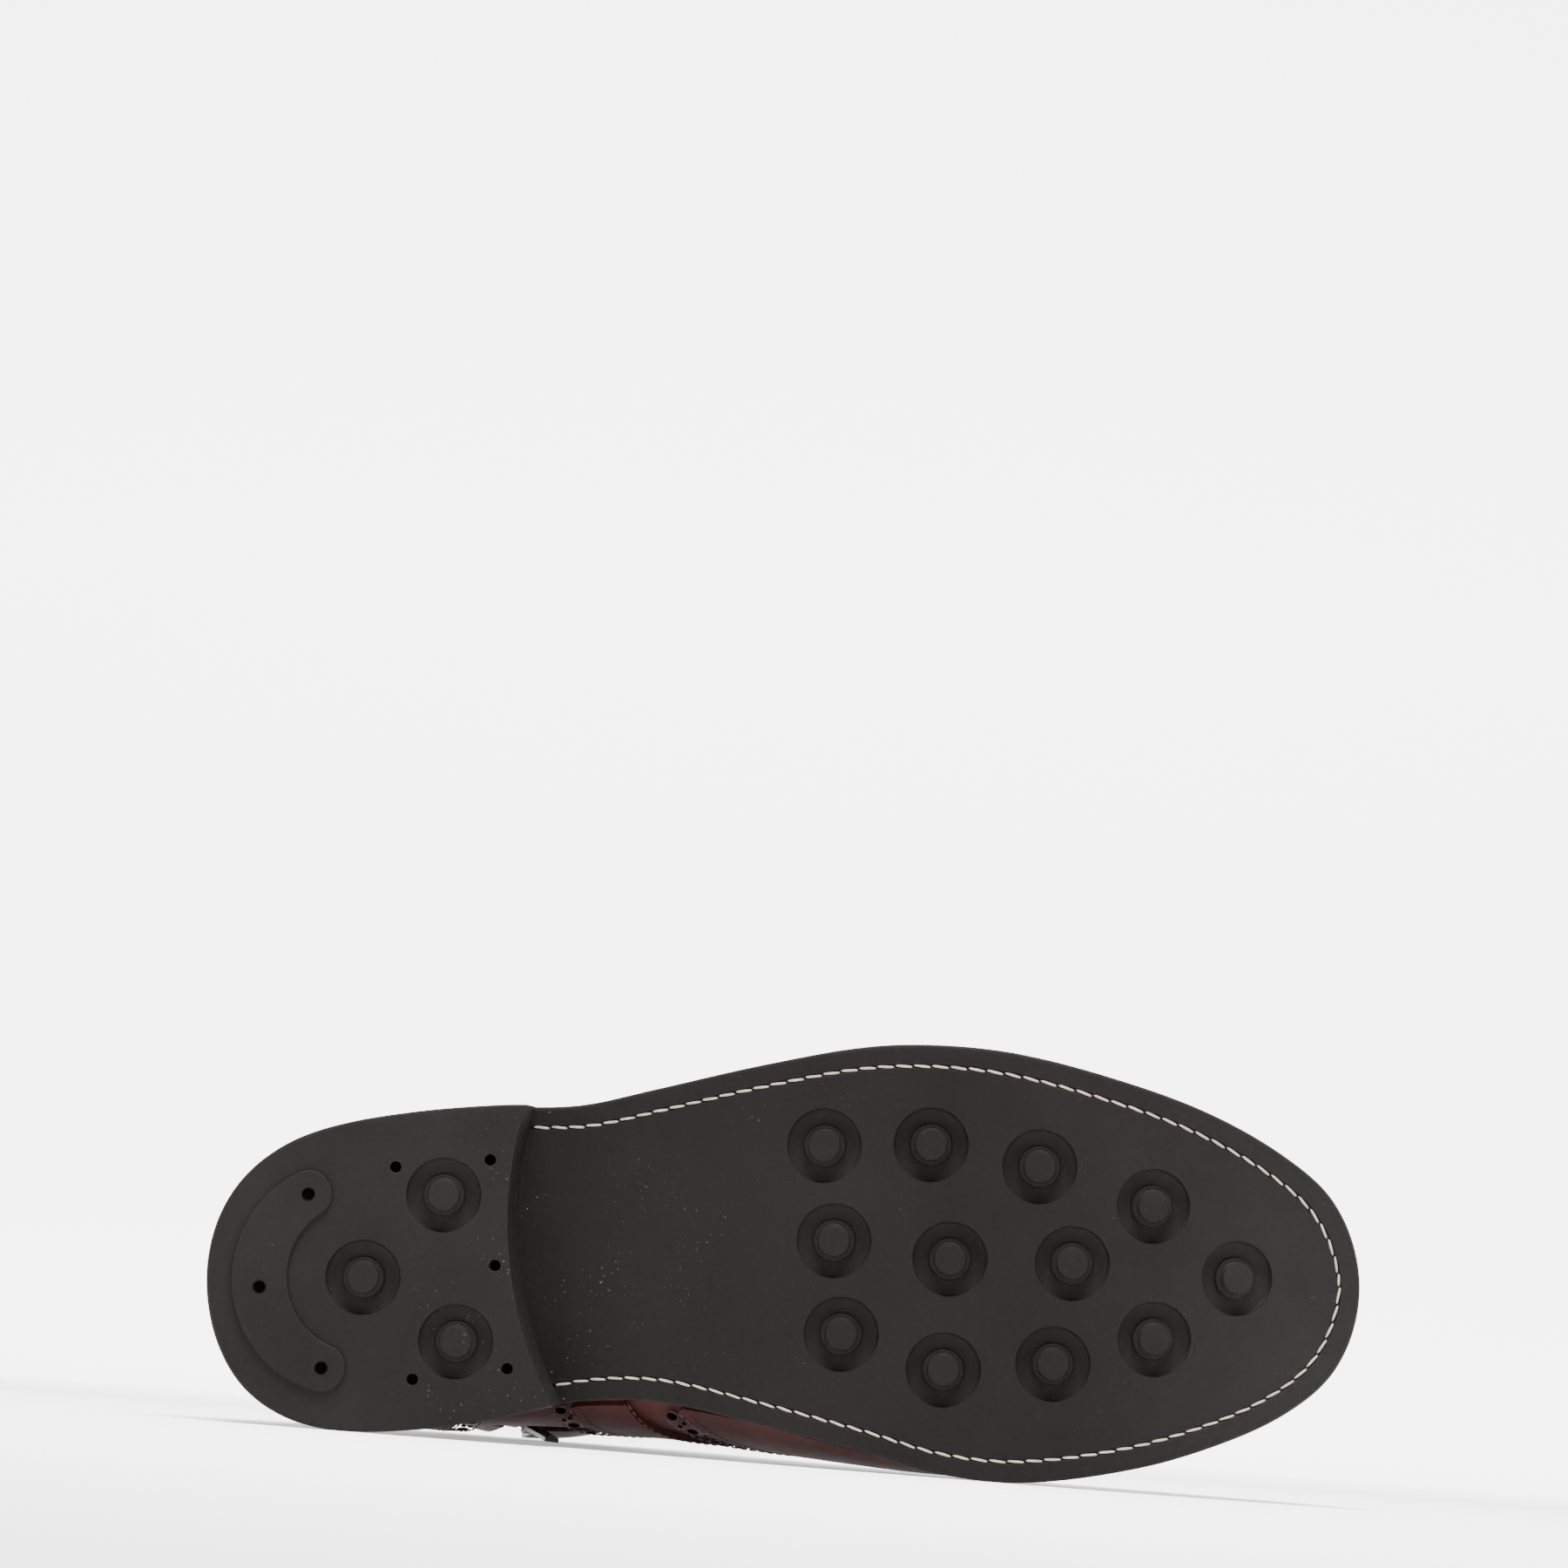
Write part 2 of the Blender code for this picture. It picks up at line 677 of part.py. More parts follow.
def make_welt():
    """The strip round the upper's foot, out to the sole's edge."""
    phases = column_phases(FOOT_LEVEL)
    turns = [(phase, True) for phase in phases[:-1]] + [(phase, False) for phase in phases[:0:-1]]
    loops = []
    for height in (FOOT_GAP, FOOT_GAP + WELT_THICKNESS):
        for point in (lambda at: feather_point(*at, -SEAT_GAP),
                      lambda at: outline_point(*at, WELT_INSET)):
            loops.append([(x, y, topside(x) + height) for x, y in map(point, turns)])
    bm = bmesh.new()
    rings = [[bm.verts.new(point) for point in loop] for loop in loops]
    count = len(turns)
    for a, b in ((0, 1), (1, 3), (3, 2), (2, 0)):
        for i in range(count):
            k = (i + 1) % count
            bm.faces.new((rings[a][i], rings[a][k], rings[b][k], rings[b][i]))
    add("welt", bm, DARK_LEATHER)


def wing_line(level):
    """How far back the wing cap reaches on a ring, as a phase."""
    shares = (0.41, 0.416, 0.43, 0.46, 0.53, 0.64, 0.745, 0.738)
    x = SOLE_LENGTH * curve_through(tuple(range(8)), shares, level)
    return phase_at_x(level, x)


def facing_rows():
    """A facing's rows: up the waist, round the instep, and then beside the throat."""
    rows = []
    places = tuple(range(len(FACING_BACK)))
    for level in rows_between(LOWEST_PANEL, FACING_TURN[0].back_level)[:-1]:
        edges = [SOLE_LENGTH * curve_through(places, line, level)
                 for line in (FACING_BACK, FACING_FRONT)]
        rows.append(tuple((level, phase_at_x(level, x)) for x in edges))
    for turn in FACING_TURN:
        rows.append(((turn.back_level, turn.back), (turn.front_level, turn.front)))
    for level in rows_between(FACING_STRAIGHT, BAND_TOP):
        rows.append(((level, facing_back(level)), (level, throat_phase(level, THROAT_GAP + FIT))))
    return rows


def facing_back(level):
    return throat_phase(level, THROAT_GAP + FACING_WIDTH)


def counter_front(level):
    shares = (0.215, 0.212, 0.20, 0.185, 0.165, 0.14, 0.112, 0.085)
    x = SOLE_LENGTH * curve_through(tuple(range(8)), shares, level)
    return phase_at_x(level, x)


def rows_between(low, high):
    """The upper's own rows between two levels, with both as ends, so that a piece over the
    upper bends where it does."""
    return [low] + [level for level in UPPER_LEVELS if low < level < high] + [high]


def make_panels():
    panel("wing_cap", rows_between(LOWEST_PANEL, WING_PEAK), wing_line,
          lambda level: 2 - wing_line(level), 22)
    panel("counter", rows_between(LOWEST_PANEL, COUNTER_TOP),
          lambda level: -counter_front(level), counter_front, 14)
    for name, sign in (("facing_medial", 1), ("facing_lateral", -1)):
        ends = [[(level, sign * around) for level, around in row] for row in facing_rows()]
        strip(name, ends, 4)

    def by_slot(level, side):
        return phase_at_x(level, zip_x(level) + side * (ZIP_HALF_SLOT + FIT))

    def by_facing(level):
        return facing_back(level) - 2 * FIT / SOLE_WIDTH

    band = rows_between(BAND_FOOT, BAND_TOP)
    panel("collar_band_medial", band, lambda level: by_slot(level, 1), by_facing, 6)
    panel("collar_band", band, lambda level: -by_facing(level), lambda level: by_slot(level, -1), 22)


def make_tongue():
    def edge(level):
        return throat_phase(level, 3.2 * THROAT_GAP)

    levels = spread(TONGUE_FOOT, COLLAR_RING, 8) + [TONGUE_TOP]
    panel("tongue", levels, edge, lambda level: 2 - edge(level), 6, thickness=TONGUE_THICKNESS,
          out=-(WALL + 2 * SEAT_GAP), outward=False, finish=DARK_LEATHER)


def frame_at(level, around, out):
    """A frame on the upper: x round the ring to the toe, y outwards and z up the boot."""
    step = 0.05
    up = leather(level + step, around(level + step)) - leather(level, around(level))
    outward = leather_normal(level, around(level))
    up = (up - outward * up.dot(outward)).normalized()
    turn = Matrix((up.cross(-outward), outward, up)).transposed().to_4x4()
    return Matrix.Translation(leather(level, around(level), out)) @ turn


def zip_line(level):
    return phase_at_x(level, zip_x(level))


def zip_strip(name, half, out, thickness, outward, low, high, count, finish):
    panel(name, rows_between(low, high), lambda level: phase_at_x(level, zip_x(level) - half),
          lambda level: phase_at_x(level, zip_x(level) + half), count, thickness=thickness,
          out=out, outward=outward, finish=finish)


TAPE_OUT = -(WALL + SEAT_GAP)
TEETH_OUT = TAPE_OUT + FIT
TEETH_HEIGHT = WALL - SEAT_GAP
PLATE_OUT = TEETH_OUT + TEETH_HEIGHT + FIT
HINGE_OUT = PLATE_OUT + SLIDER_PLATE + FIT + PULL_THICKNESS / 2
EYE_BAR = PULL_THICKNESS / 2
EYE_END = SLIDER_LENGTH * 0.62
WINDOW_START = PULL_LENGTH * 0.62
WINDOW_END = PULL_LENGTH - 0.0013


def make_slider():
    """The zip's slider: a plate over the teeth and a bridge that the pull hangs on."""
    place = frame_at(SLIDER_RING, zip_line, PLATE_OUT)
    bm = bmesh.new()
    size = Matrix.Diagonal((SLIDER_WIDTH, SLIDER_PLATE, SLIDER_LENGTH, 1))
    middle = Matrix.Translation((0, SLIDER_PLATE / 2, 0))
    bmesh.ops.create_cube(bm, size=1.0, matrix=place @ middle @ size)
    slider = add("zip_slider", bm, BLACK_METAL)
    foot = SLIDER_PLATE / 2
    under = SLIDER_PLATE + BRIDGE_OPENING
    top = under + BRIDGE_BAR
    reach = SLIDER_LENGTH * 0.34
    inside = reach - BRIDGE_BAR
    arch = [(-reach, foot), (-reach, top - FIT), (-inside, top), (inside, top)]
    arch += [(reach, top - FIT), (reach, foot), (inside, foot), (inside, under)]
    arch += [(-inside, under), (-inside, foot)]
    bm = bmesh.new()
    half = BRIDGE_WIDTH / 2
    face = bm.faces.new([bm.verts.new(place @ Vector((-half, y, z))) for z, y in arch])
    lift = bmesh.ops.extrude_face_region(bm, geom=[face])
    raised = [item for item in lift["geom"] if isinstance(item, bmesh.types.BMVert)]
    bmesh.ops.translate(bm, verts=raised, vec=place.to_3x3() @ Vector((BRIDGE_WIDTH, 0, 0)))
    boolean(slider, add("zip_bridge", bm, None, cutter=True), "UNION")


def make_pull():
    """The pull's flat plate with an eye at its hinge and a window near its end."""
    place = frame_at(SLIDER_RING, zip_line, HINGE_OUT)
    rows = [EYE_BAR, -EYE_BAR, -EYE_END, -WINDOW_START, -WINDOW_END, -PULL_LENGTH]
    bm = bmesh.new()
    grid = []
    for z in rows:
        share = min(max(-z / PULL_LENGTH, 0.0), 1.0)
        half = (PULL_WIDTH + (PULL_END_WIDTH - PULL_WIDTH) * share) / 2
        rail = half - (PULL_WIDTH - BRIDGE_WIDTH) / 2 + 2 * FIT
        grid.append([bm.verts.new((x, -EYE_BAR, z)) for x in (-half, -rail, rail, half)])
    for j in range(len(rows) - 1):
        for i in range(3):
            if i == 1 and j in (1, 3):
                continue
            corners = (grid[j][i], grid[j][i + 1], grid[j + 1][i + 1], grid[j + 1][i])
            bm.faces.new(corners)
    pull = add_sheet("zip_pull", bm, BLACK_METAL, PULL_THICKNESS, True)
    pull.matrix_local = place
    return pull


def eyelet_phase(level):
    return throat_phase(level, THROAT_GAP + EYELET_INSET)


def eyelet_levels():
    return spread(FIRST_EYELET, LAST_EYELET, EYELET_PAIRS - 1)


def eyelet_out():
    return PANEL_GAP + PANEL_THICKNESS + 2 * FIT


def make_eyelets():
    """A rolled ring on the facing for each lace hole."""
    profile = [(EYELET_HOLE, 0.0), (EYELET_RADIUS, 0.0), (EYELET_RADIUS, EYELET_HEIGHT / 2)]
    crown = (EYELET_RADIUS + EYELET_HOLE) / 2
    profile += [(crown, EYELET_HEIGHT), (EYELET_HOLE, EYELET_HEIGHT / 2)]
    for number, level in enumerate(eyelet_levels(), 1):
        for name, sign in (("medial", 1), ("lateral", -1)):
            place = frame_at(level, lambda at: sign * eyelet_phase(at), eyelet_out())
            place = place @ Matrix.Rotation(-math.pi / 2, 4, "X")
            bm = bmesh.new()
            rings = []
            for i in range(EYELET_SIDES):
                angle = 2 * math.pi * i / EYELET_SIDES
                ray = Vector((math.cos(angle), math.sin(angle), 0))
                points = [place @ (ray * r + Vector((0, 0, h))) for r, h in profile]
                rings.append([bm.verts.new(point) for point in points])
            for i in range(EYELET_SIDES):
                near, far = rings[i], rings[(i + 1) % EYELET_SIDES]
                for j in range(len(profile)):
                    k = (j + 1) % len(profile)
                    bm.faces.new((near[j], near[k], far[k], far[j]))
            add(f"eyelet_{name}_{number}", bm, BRASS)


def make_lace():
    """A bar of lace across the throat between each pair of eyelets."""
    over = eyelet_out() + EYELET_HEIGHT + FIT + LACE_RADIUS
    for number, level in enumerate(eyelet_levels(), 1):
        name = f"lace_bar_{number}"
        start = eyelet_phase(level)
        points = [leather(level, start, eyelet_out())]
        points += [leather(level, around, over) for around in spread(start, 2 - start, 5)]
        points.append(leather(level, -start, eyelet_out()))
        route = bpy.data.curves.new(name, "CURVE")
        route.dimensions = "3D"
        route.bevel_depth = LACE_RADIUS
        route.bevel_resolution = 1
        route.use_fill_caps = True
        line = route.splines.new("POLY")
        line.points.add(len(points) - 1)
        for point, place in zip(line.points, points):
            point.co = (*place, 1.0)
        route.materials.append(CORD)
        made = bpy.data.objects.new(name, route)
        PARTS.objects.link(made)
        made.parent = LAID


def points_of(pieces):
    """The corners of the finished pieces in the standing boot's own frame."""
    graph = bpy.context.evaluated_depsgraph_get()
    points = []
    for piece in pieces:
        found = piece.evaluated_get(graph)
        turn = piece.matrix_local
        points += [turn @ vertex.co for vertex in found.to_mesh().vertices]
        found.to_mesh_clear()
    return points


def resting_plane(pieces):
    """The plane on the inner side that the boot lies on, as its outward normal and offset: the
    face of the hull that lies under the balance point."""
    bm = bmesh.new()
    for point in points_of(pieces):
        bm.verts.new(point)
    bmesh.ops.convex_hull(bm, input=bm.verts)
    balance = Vector((BALANCE_ALONG * SOLE_LENGTH, 0.0, BALANCE_UP * COLLAR_HEIGHT))
    best = None
    for face in bm.faces:
        if face.normal.y < 0.5:
            continue
        corners = [corner.co for corner in face.verts]
        drop = balance + face.normal * (corners[0] - balance).dot(face.normal)
        signs = []
        for a, b in zip(corners, corners[1:] + corners[:1]):
            signs.append((b - a).cross(drop - a).dot(face.normal) >= 0)
        if all(signs) or not any(signs):
            best = (face.normal.copy(), corners[0].dot(face.normal))
    bm.free()
    return best


def lie_down(pull):
    """Turns the boot onto its inner side with its heading along x and its box over the origin."""
    pieces = [piece for piece in PARTS.objects if piece.type in {"MESH", "CURVE"}]
    normal, offset = resting_plane([piece for piece in pieces if piece is not pull])
    hang_pull(pull, normal, offset)
    ahead = (Vector((1, 0, 0)) - normal * normal.x).normalized()
    turn = Matrix((ahead, ahead.cross(normal), -normal))
    places = [turn @ point for point in points_of(pieces)]
    middle = [(min(line) + max(line)) / 2 for line in zip(*places)]
    LAID.matrix_world = Matrix.Translation((-middle[0], -middle[1], offset)) @ turn.to_4x4()


def hang_pull(pull, normal, offset):
    """Swings the pull out on its hinge until its tip is just clear of the floor."""
    hinge = pull.matrix_local.copy()
    corners = [(sx * PULL_END_WIDTH / 2, y, -PULL_LENGTH) for sx in (-1, 1)
               for y in (-EYE_BAR, EYE_BAR)]
    low, high = 0.0, math.radians(60)
    for _ in range(24):
        angle = (low + high) / 2
        swung = hinge @ Matrix.Rotation(angle, 4, "X")
        reach = max((swung @ Vector(corner)).dot(normal) for corner in corners)
        if reach < offset - FLOOR_CLEARANCE:
            low = angle
        else:
            high = angle
    pull.matrix_local = hinge @ Matrix.Rotation(low, 4, "X")


make_outsole()
make_heel()
make_heel_tip()
make_welt()
make_insole()
make_upper()
make_panels()
make_tongue()
zip_strip("zip_tape", ZIP_HALF_SLOT + 0.004, TAPE_OUT, ZIP_TAPE_THICKNESS, False,
          ZIP_RING - 0.3, BAND_TOP, 3, TAPE)
zip_strip("zip_teeth", TEETH_HALF_WIDTH, TEETH_OUT, TEETH_HEIGHT, True,
          ZIP_RING + 0.05, BAND_TOP - 0.1, 1, BLACK_METAL)
make_slider()
make_eyelets()
make_lace()
lie_down(make_pull())
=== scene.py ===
"""The looks of the brogue boot: a right ankle boot that lies on its inner side.

The boot's forms are functions in a standing frame: x from the heel's back to the
toe, y to the inner side, z up from the ground. LAID lays them down on the floor.
"""

import functools
import json
import math

import bmesh
import bpy
import numpy as np
from mathutils import Matrix, Vector

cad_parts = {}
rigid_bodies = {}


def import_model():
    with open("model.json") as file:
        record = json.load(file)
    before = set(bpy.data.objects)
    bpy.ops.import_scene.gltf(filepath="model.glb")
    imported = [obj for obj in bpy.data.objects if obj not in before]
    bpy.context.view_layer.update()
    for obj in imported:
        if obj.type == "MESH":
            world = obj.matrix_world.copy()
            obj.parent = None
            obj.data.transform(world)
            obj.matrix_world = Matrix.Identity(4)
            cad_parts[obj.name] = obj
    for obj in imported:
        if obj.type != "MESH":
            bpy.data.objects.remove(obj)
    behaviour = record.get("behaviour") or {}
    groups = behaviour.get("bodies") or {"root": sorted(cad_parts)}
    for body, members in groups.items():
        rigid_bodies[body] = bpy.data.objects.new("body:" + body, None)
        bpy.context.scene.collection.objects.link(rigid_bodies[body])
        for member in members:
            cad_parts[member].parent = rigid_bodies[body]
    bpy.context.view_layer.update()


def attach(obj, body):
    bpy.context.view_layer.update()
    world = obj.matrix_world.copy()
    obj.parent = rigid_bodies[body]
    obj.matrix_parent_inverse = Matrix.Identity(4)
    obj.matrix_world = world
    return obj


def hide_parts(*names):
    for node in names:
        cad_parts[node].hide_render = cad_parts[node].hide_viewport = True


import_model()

LAID = Matrix((
    (0.9969673, 0.0777944, -0.0020428, -0.1519022),
    (0.0, 0.0262497, 0.9996554, -0.0834021),
    (0.0778212, -0.9966238, 0.0261701, 0.0367654),
    (0.0, 0.0, 0.0, 1.0),
))

# Sizes shared with the solids
LENGTH = 0.305
WIDTH = 0.1148
COLLAR = 0.152
HEEL_HEIGHT = 0.0225
HEEL_LENGTH = 0.079
SOLE_THICKNESS = 0.006
TOE_SPRING = 0.019
PROUD = 0.001
FOOT_GAP = 0.0009
WELT_THICKNESS = 0.003
WALL = 0.0024
FIT = 0.0003
BREAST_RADIUS = 0.104
BREAST_AXIS = -0.015
BREAST_SLANT = 0.0017
THROAT_GAP = 0.0065
EYELET_INSET = 0.0075
FACING_WIDTH = 2.1 * EYELET_INSET
ZIP_HALF_SLOT = 0.0045
COLLAR_RING = 12.0
THROAT_RING = 9.0
ZIP_RING = 5.7
ZIP_X_SHARES = (0.335, 0.232)
LOWEST_PANEL = 1.4
BAND_FOOT = 10.75
BAND_TOP = 11.97
EYELET_LEVELS = (9.35, 9.8, 10.25, 10.7, 11.15, 11.6)

# The sole's outline: share of the length, outer and inner offset as shares of the width
OUTLINE = (
    (0.0, 0.0, 0.0),
    (0.0098, 0.1385, 0.1463),
    (0.0325, 0.2352, 0.2474),
    (0.0702, 0.3110, 0.3171),
    (0.1157, 0.3537, 0.3458),
    (0.1836, 0.3833, 0.3432),
    (0.2518, 0.3972, 0.3171),
    (0.3197, 0.4016, 0.2831),
    (0.3879, 0.4382, 0.2831),
    (0.4784, 0.4895, 0.3354),
    (0.5692, 0.5305, 0.3972),
    (0.6370, 0.5340, 0.4477),
    (0.7052, 0.5122, 0.4643),
    (0.7957, 0.4477, 0.4355),
    (0.8639, 0.3815, 0.3876),
    (0.9318, 0.2831, 0.3110),
    (0.9774, 0.1751, 0.2091),
    (1.0, -0.018, 0.018),
)

# The upper's rings: back x and rise, front x and rise, bend, round, then four widths of the
# inner side and four of the outer side
RINGS = (
    (.0148, .008, .979, .008, 1.0, .80, .308, .262, .424, .318, .308, .375, .480, .305),
    (.0140, .037, .980, .037, 1.0, .80, .308, .262, .424, .318, .308, .375, .480, .305),
    (.0075, .109, .986, .089, .97, .80, .310, .325, .440, .331, .310, .378, .492, .318),
    (.0065, .174, .979, .161, .90, .80, .304, .352, .436, .314, .304, .374, .483, .301),
    (.0105, .239, .954, .247, .80, .82, .290, .358, .414, .272, .290, .362, .449, .263),
    (.0180, .304, .908, .339, .68, .84, .275, .354, .388, .253, .275, .349, .410, .248),
    (.0279, .368, .843, .416, .55, .86, .262, .346, .366, .253, .262, .335, .379, .253),
    (.0377, .433, .757, .489, .42, .88, .248, .334, .344, .253, .248, .323, .348, .253),
    (.0475, .506, .675, .567, .30, .90, .236, .328, .322, .244, .236, .314, .318, .235),
    (.0574, .587, .603, .672, .20, .93, .224, .328, .318, .226, .224, .314, .305, .213),
    (.0672, .692, .544, .802, .10, .96, .220, .340, .326, .215, .214, .320, .305, .197),
    (.0754, .814, .497, .959, .04, .98, .222, .360, .346, .218, .210, .330, .315, .192),
    (.0803, .984, .456, 1.174, .0, 1.0, .228, .378, .366, .228, .208, .336, .326, .194),
    (.0810, 1.08, .444, 1.291, .0, 1.0, .228, .378, .366, .228, .208, .336, .326, .194),
)
STATIONS = (0.2, 0.42, 0.62, 0.8)

# Places on the sole: share of the length along, share of the width across
FORE_STUDS = (
    (0.5321, -0.3032), (0.5404, -0.0863), (0.5465, 0.1265), (0.6243, -0.3052),
    (0.6402, -0.0442), (0.6342, 0.2078), (0.7180, -0.2550), (0.7457, -0.0341),
    (0.7286, 0.1948), (0.8163, -0.1647), (0.8163, 0.1386), (0.8893, 0.0),
)
HEEL_STUDS = ((0.2041, -0.1908), (0.1350, -0.0028), (0.2151, 0.1436))
HEEL_PINS = (
    (0.1625, -0.255), (0.2440, -0.271), (0.2485, -0.030), (0.1780, 0.229), (0.2593, 0.205),
)
TIP_PINS = ((0.0877, -0.193), (0.0461, 0.018), (0.0998, 0.2028))


# Forms

def eased(share):
    share = min(max(share, 0.0), 1.0)
    return share * share * (3 - 2 * share)


def spread(low, high, count):
    return [low + (high - low) * i / count for i in range(count + 1)]


def curve_through(knots, values, at):
    last = len(knots) - 1
    i = 0
    while i < last - 1 and at > knots[i + 1]:
        i += 1

    def slope(j):
        low = max(j - 1, 0)
        high = min(j + 1, last)
        return (values[high] - values[low]) / (knots[high] - knots[low])

    span = knots[i + 1] - knots[i]
    s = (at - knots[i]) / span
    if s < 0:
        return values[0]
    if s > 1:
        return values[last]
    start = values[i] * (1 + 2 * s) * (1 - s) ** 2 + slope(i) * span * s * (1 - s) ** 2
    end = values[i + 1] * (3 - 2 * s) * s * s - slope(i + 1) * span * (1 - s) * s * s
    return start + end


def share_at(phase):
    return (1 - math.cos(math.pi * phase)) / 2


def phase_at(share):
    return math.acos(1 - 2 * min(max(share, 0.0), 1.0)) / math.pi


OUTLINE_PHASES = [phase_at(row[0]) for row in OUTLINE]


@functools.lru_cache(maxsize=None)
def outline_reach(phase, inner):
    column = [row[2] if inner else row[1] for row in OUTLINE]
    return curve_through(OUTLINE_PHASES, column, phase) * WIDTH


def outline_point(phase, inner, inset=0.0):
    x = LENGTH * share_at(phase)
    x = inset + x * (LENGTH - 2 * inset) / LENGTH
    reach = outline_reach(phase, inner) - inset * math.sin(math.pi * phase) ** 0.4
    return x, reach if inner else -reach


def underside(x):
    waist_end = 0.545 * LENGTH
    fall = eased((x - HEEL_LENGTH) / (waist_end - HEEL_LENGTH))
    toe_start = 0.735 * LENGTH
    toe = max(x - toe_start, 0.0) / (LENGTH - toe_start)
    return PROUD + (HEEL_HEIGHT - PROUD) * (1 - fall) + TOE_SPRING * toe * toe


def topside(x):
    return underside(x) + SOLE_THICKNESS


@functools.lru_cache(maxsize=None)
def ring_at(level):
    knots = list(range(len(RINGS)))
    return tuple(curve_through(knots, column, level) for column in zip(*RINGS))


def ring_ends(level):
    ring = ring_at(level)
    return ring[0] * LENGTH, ring[2] * LENGTH


def leather_point(level, around):
    around = (around + 1) % 2 - 1
    inner = around >= 0
    phase = abs(around)
    ring = ring_at(level)
    back, front = ring_ends(level)
    share = share_at(phase)
    x = back + (front - back) * share
    side = ring[6:10] if inner else ring[10:14]
    sine = math.sin(math.pi * phase)
    fullness = [w / math.sin(math.pi * s) ** ring[5] for w, s in zip(side, STATIONS)]
    reach = WIDTH * curve_through(STATIONS, fullness, phase) * sine ** ring[5]
    rise = ring[1] + (ring[3] - ring[1]) * share
    chord = topside(back) + (topside(front) - topside(back)) * share
    z = rise * (COLLAR - topside(0)) + chord + ring[4] * (topside(x) - chord)
    inflare = 0.018 * WIDTH * share ** 6 * ring[4]
    return x, inflare + (reach if inner else -reach), z


# The upper's outer face, sampled once: rows are levels and columns go round from -1 to 1
TOP_LEVEL = 13.0
LEVEL_STEPS = 260
AROUND_STEPS = 480
SKIN = np.array([
    [leather_point(level, around) for around in spread(-1.0, 1.0, AROUND_STEPS)[:-1]]
    for level in spread(0.0, TOP_LEVEL, LEVEL_STEPS)
])
ROUND_STEP = np.roll(SKIN, -1, 1) - np.roll(SKIN, 1, 1)
SKIN_NORMAL = np.cross(np.gradient(SKIN, axis=0), ROUND_STEP)
SKIN_NORMAL /= np.linalg.norm(SKIN_NORMAL, axis=2, keepdims=True)


def crease(x, y, z):
    """How far the walked-in creases over the vamp sink or lift the leather."""
    depth = np.zeros_like(x)
    for along, tilt, deep, wide in CREASES:
        middle = along * LENGTH + tilt * y + 0.9 * np.sin(y / 0.011 + along * 40) * 0.001
        off = (x - middle) / wide
        fade = np.clip((z - 0.026) / 0.018, 0, 1)
        depth += -deep * np.exp(-off * off) * fade
        depth += 0.5 * deep * np.exp(-((off - 2.0) ** 2)) * fade
        depth += 0.5 * deep * np.exp(-((off + 2.0) ** 2)) * fade
    return depth


CREASES = (
    (0.655, 0.10, 0.0007, 0.0022),
    (0.690, -0.05, 0.0009, 0.0024),
    (0.725, 0.06, 0.0006, 0.0020),
)


def skin(levels, arounds, out):
    """Points over (out above 0) or inside the upper's outer face, for arrays of places."""
    levels, arounds, out = np.broadcast_arrays(
        np.asarray(levels, float), np.asarray(arounds, float), np.asarray(out, float)
    )
    row = np.clip(levels / TOP_LEVEL * LEVEL_STEPS, 0, LEVEL_STEPS - 1e-6)
    column = ((arounds + 1) / 2 * AROUND_STEPS) % AROUND_STEPS
    i, j = row.astype(int), column.astype(int)
    u, v = (row - i)[..., None], (column - j)[..., None]
    k = (j + 1) % AROUND_STEPS

    def mix(table):
        low = table[i, j] * (1 - v) + table[i, k] * v
        high = table[i + 1, j] * (1 - v) + table[i + 1, k] * v
        return low * (1 - u) + high * u

    place, normal = mix(SKIN), mix(SKIN_NORMAL)
    normal /= np.linalg.norm(normal, axis=-1, keepdims=True)
    lift = out + crease(place[..., 0], place[..., 1], place[..., 2])
    return place + normal * lift[..., None]


def skin_at(level, around, out=0.0):
    return Vector(skin(level, around, out))


def phase_at_x(level, x):
    back, front = ring_ends(level)
    return phase_at((x - back) / (front - back))


def zip_x(level):
    low, high = (share * LENGTH for share in ZIP_X_SHARES)
    return low + (high - low) * (level - ZIP_RING) / (COLLAR_RING - ZIP_RING)


@functools.lru_cache(maxsize=None)
def throat_phase(level, gap=THROAT_GAP):
    low, high = 0.62, 1.0
    for _ in range(24):
        middle = (low + high) / 2
        if leather_point(level, middle)[1] > gap:
            low = middle
        else:
            high = middle
    return (low + high) / 2


# Materials

def wire(tree, a, b):
    tree.links.new(a, b)


def coordinates(tree):
    node = tree.nodes.get("coords") or tree.nodes.new("ShaderNodeTexCoord")
    node.name = "coords"
    return node.outputs["Object"]


def noise(tree, scale, detail=3.0, rough=0.5):
    node = tree.nodes.new("ShaderNodeTexNoise")
    node.inputs["Scale"].default_value = scale
    node.inputs["Detail"].default_value = detail
    node.inputs["Roughness"].default_value = rough
    wire(tree, coordinates(tree), node.inputs["Vector"])
    return node.outputs["Fac"]


def ramp(tree, source, stops):
    node = tree.nodes.new("ShaderNodeValToRGB")
    node.color_ramp.elements[0].position = stops[0][0]
    node.color_ramp.elements[0].color = (*stops[0][1], 1)
    node.color_ramp.elements[1].position = stops[-1][0]
    node.color_ramp.elements[1].color = (*stops[-1][1], 1)
    for place, colour in stops[1:-1]:
        node.color_ramp.elements.new(place).color = (*colour, 1)
    wire(tree, source, node.inputs["Fac"])
    return node.outputs["Color"]


def mixed(tree, factor, a, b, mode="MIX"):
    node = tree.nodes.new("ShaderNodeMix")
    node.data_type = "RGBA"
    node.blend_type = mode
    for name, value in (("Factor", factor), ("A", a), ("B", b)):
        socket = node.inputs[name]
        if isinstance(value, bpy.types.NodeSocket):
            wire(tree, value, socket)
        else:
            socket.default_value = value if isinstance(value, float) else (*value, 1)
    return node.outputs["Result"]


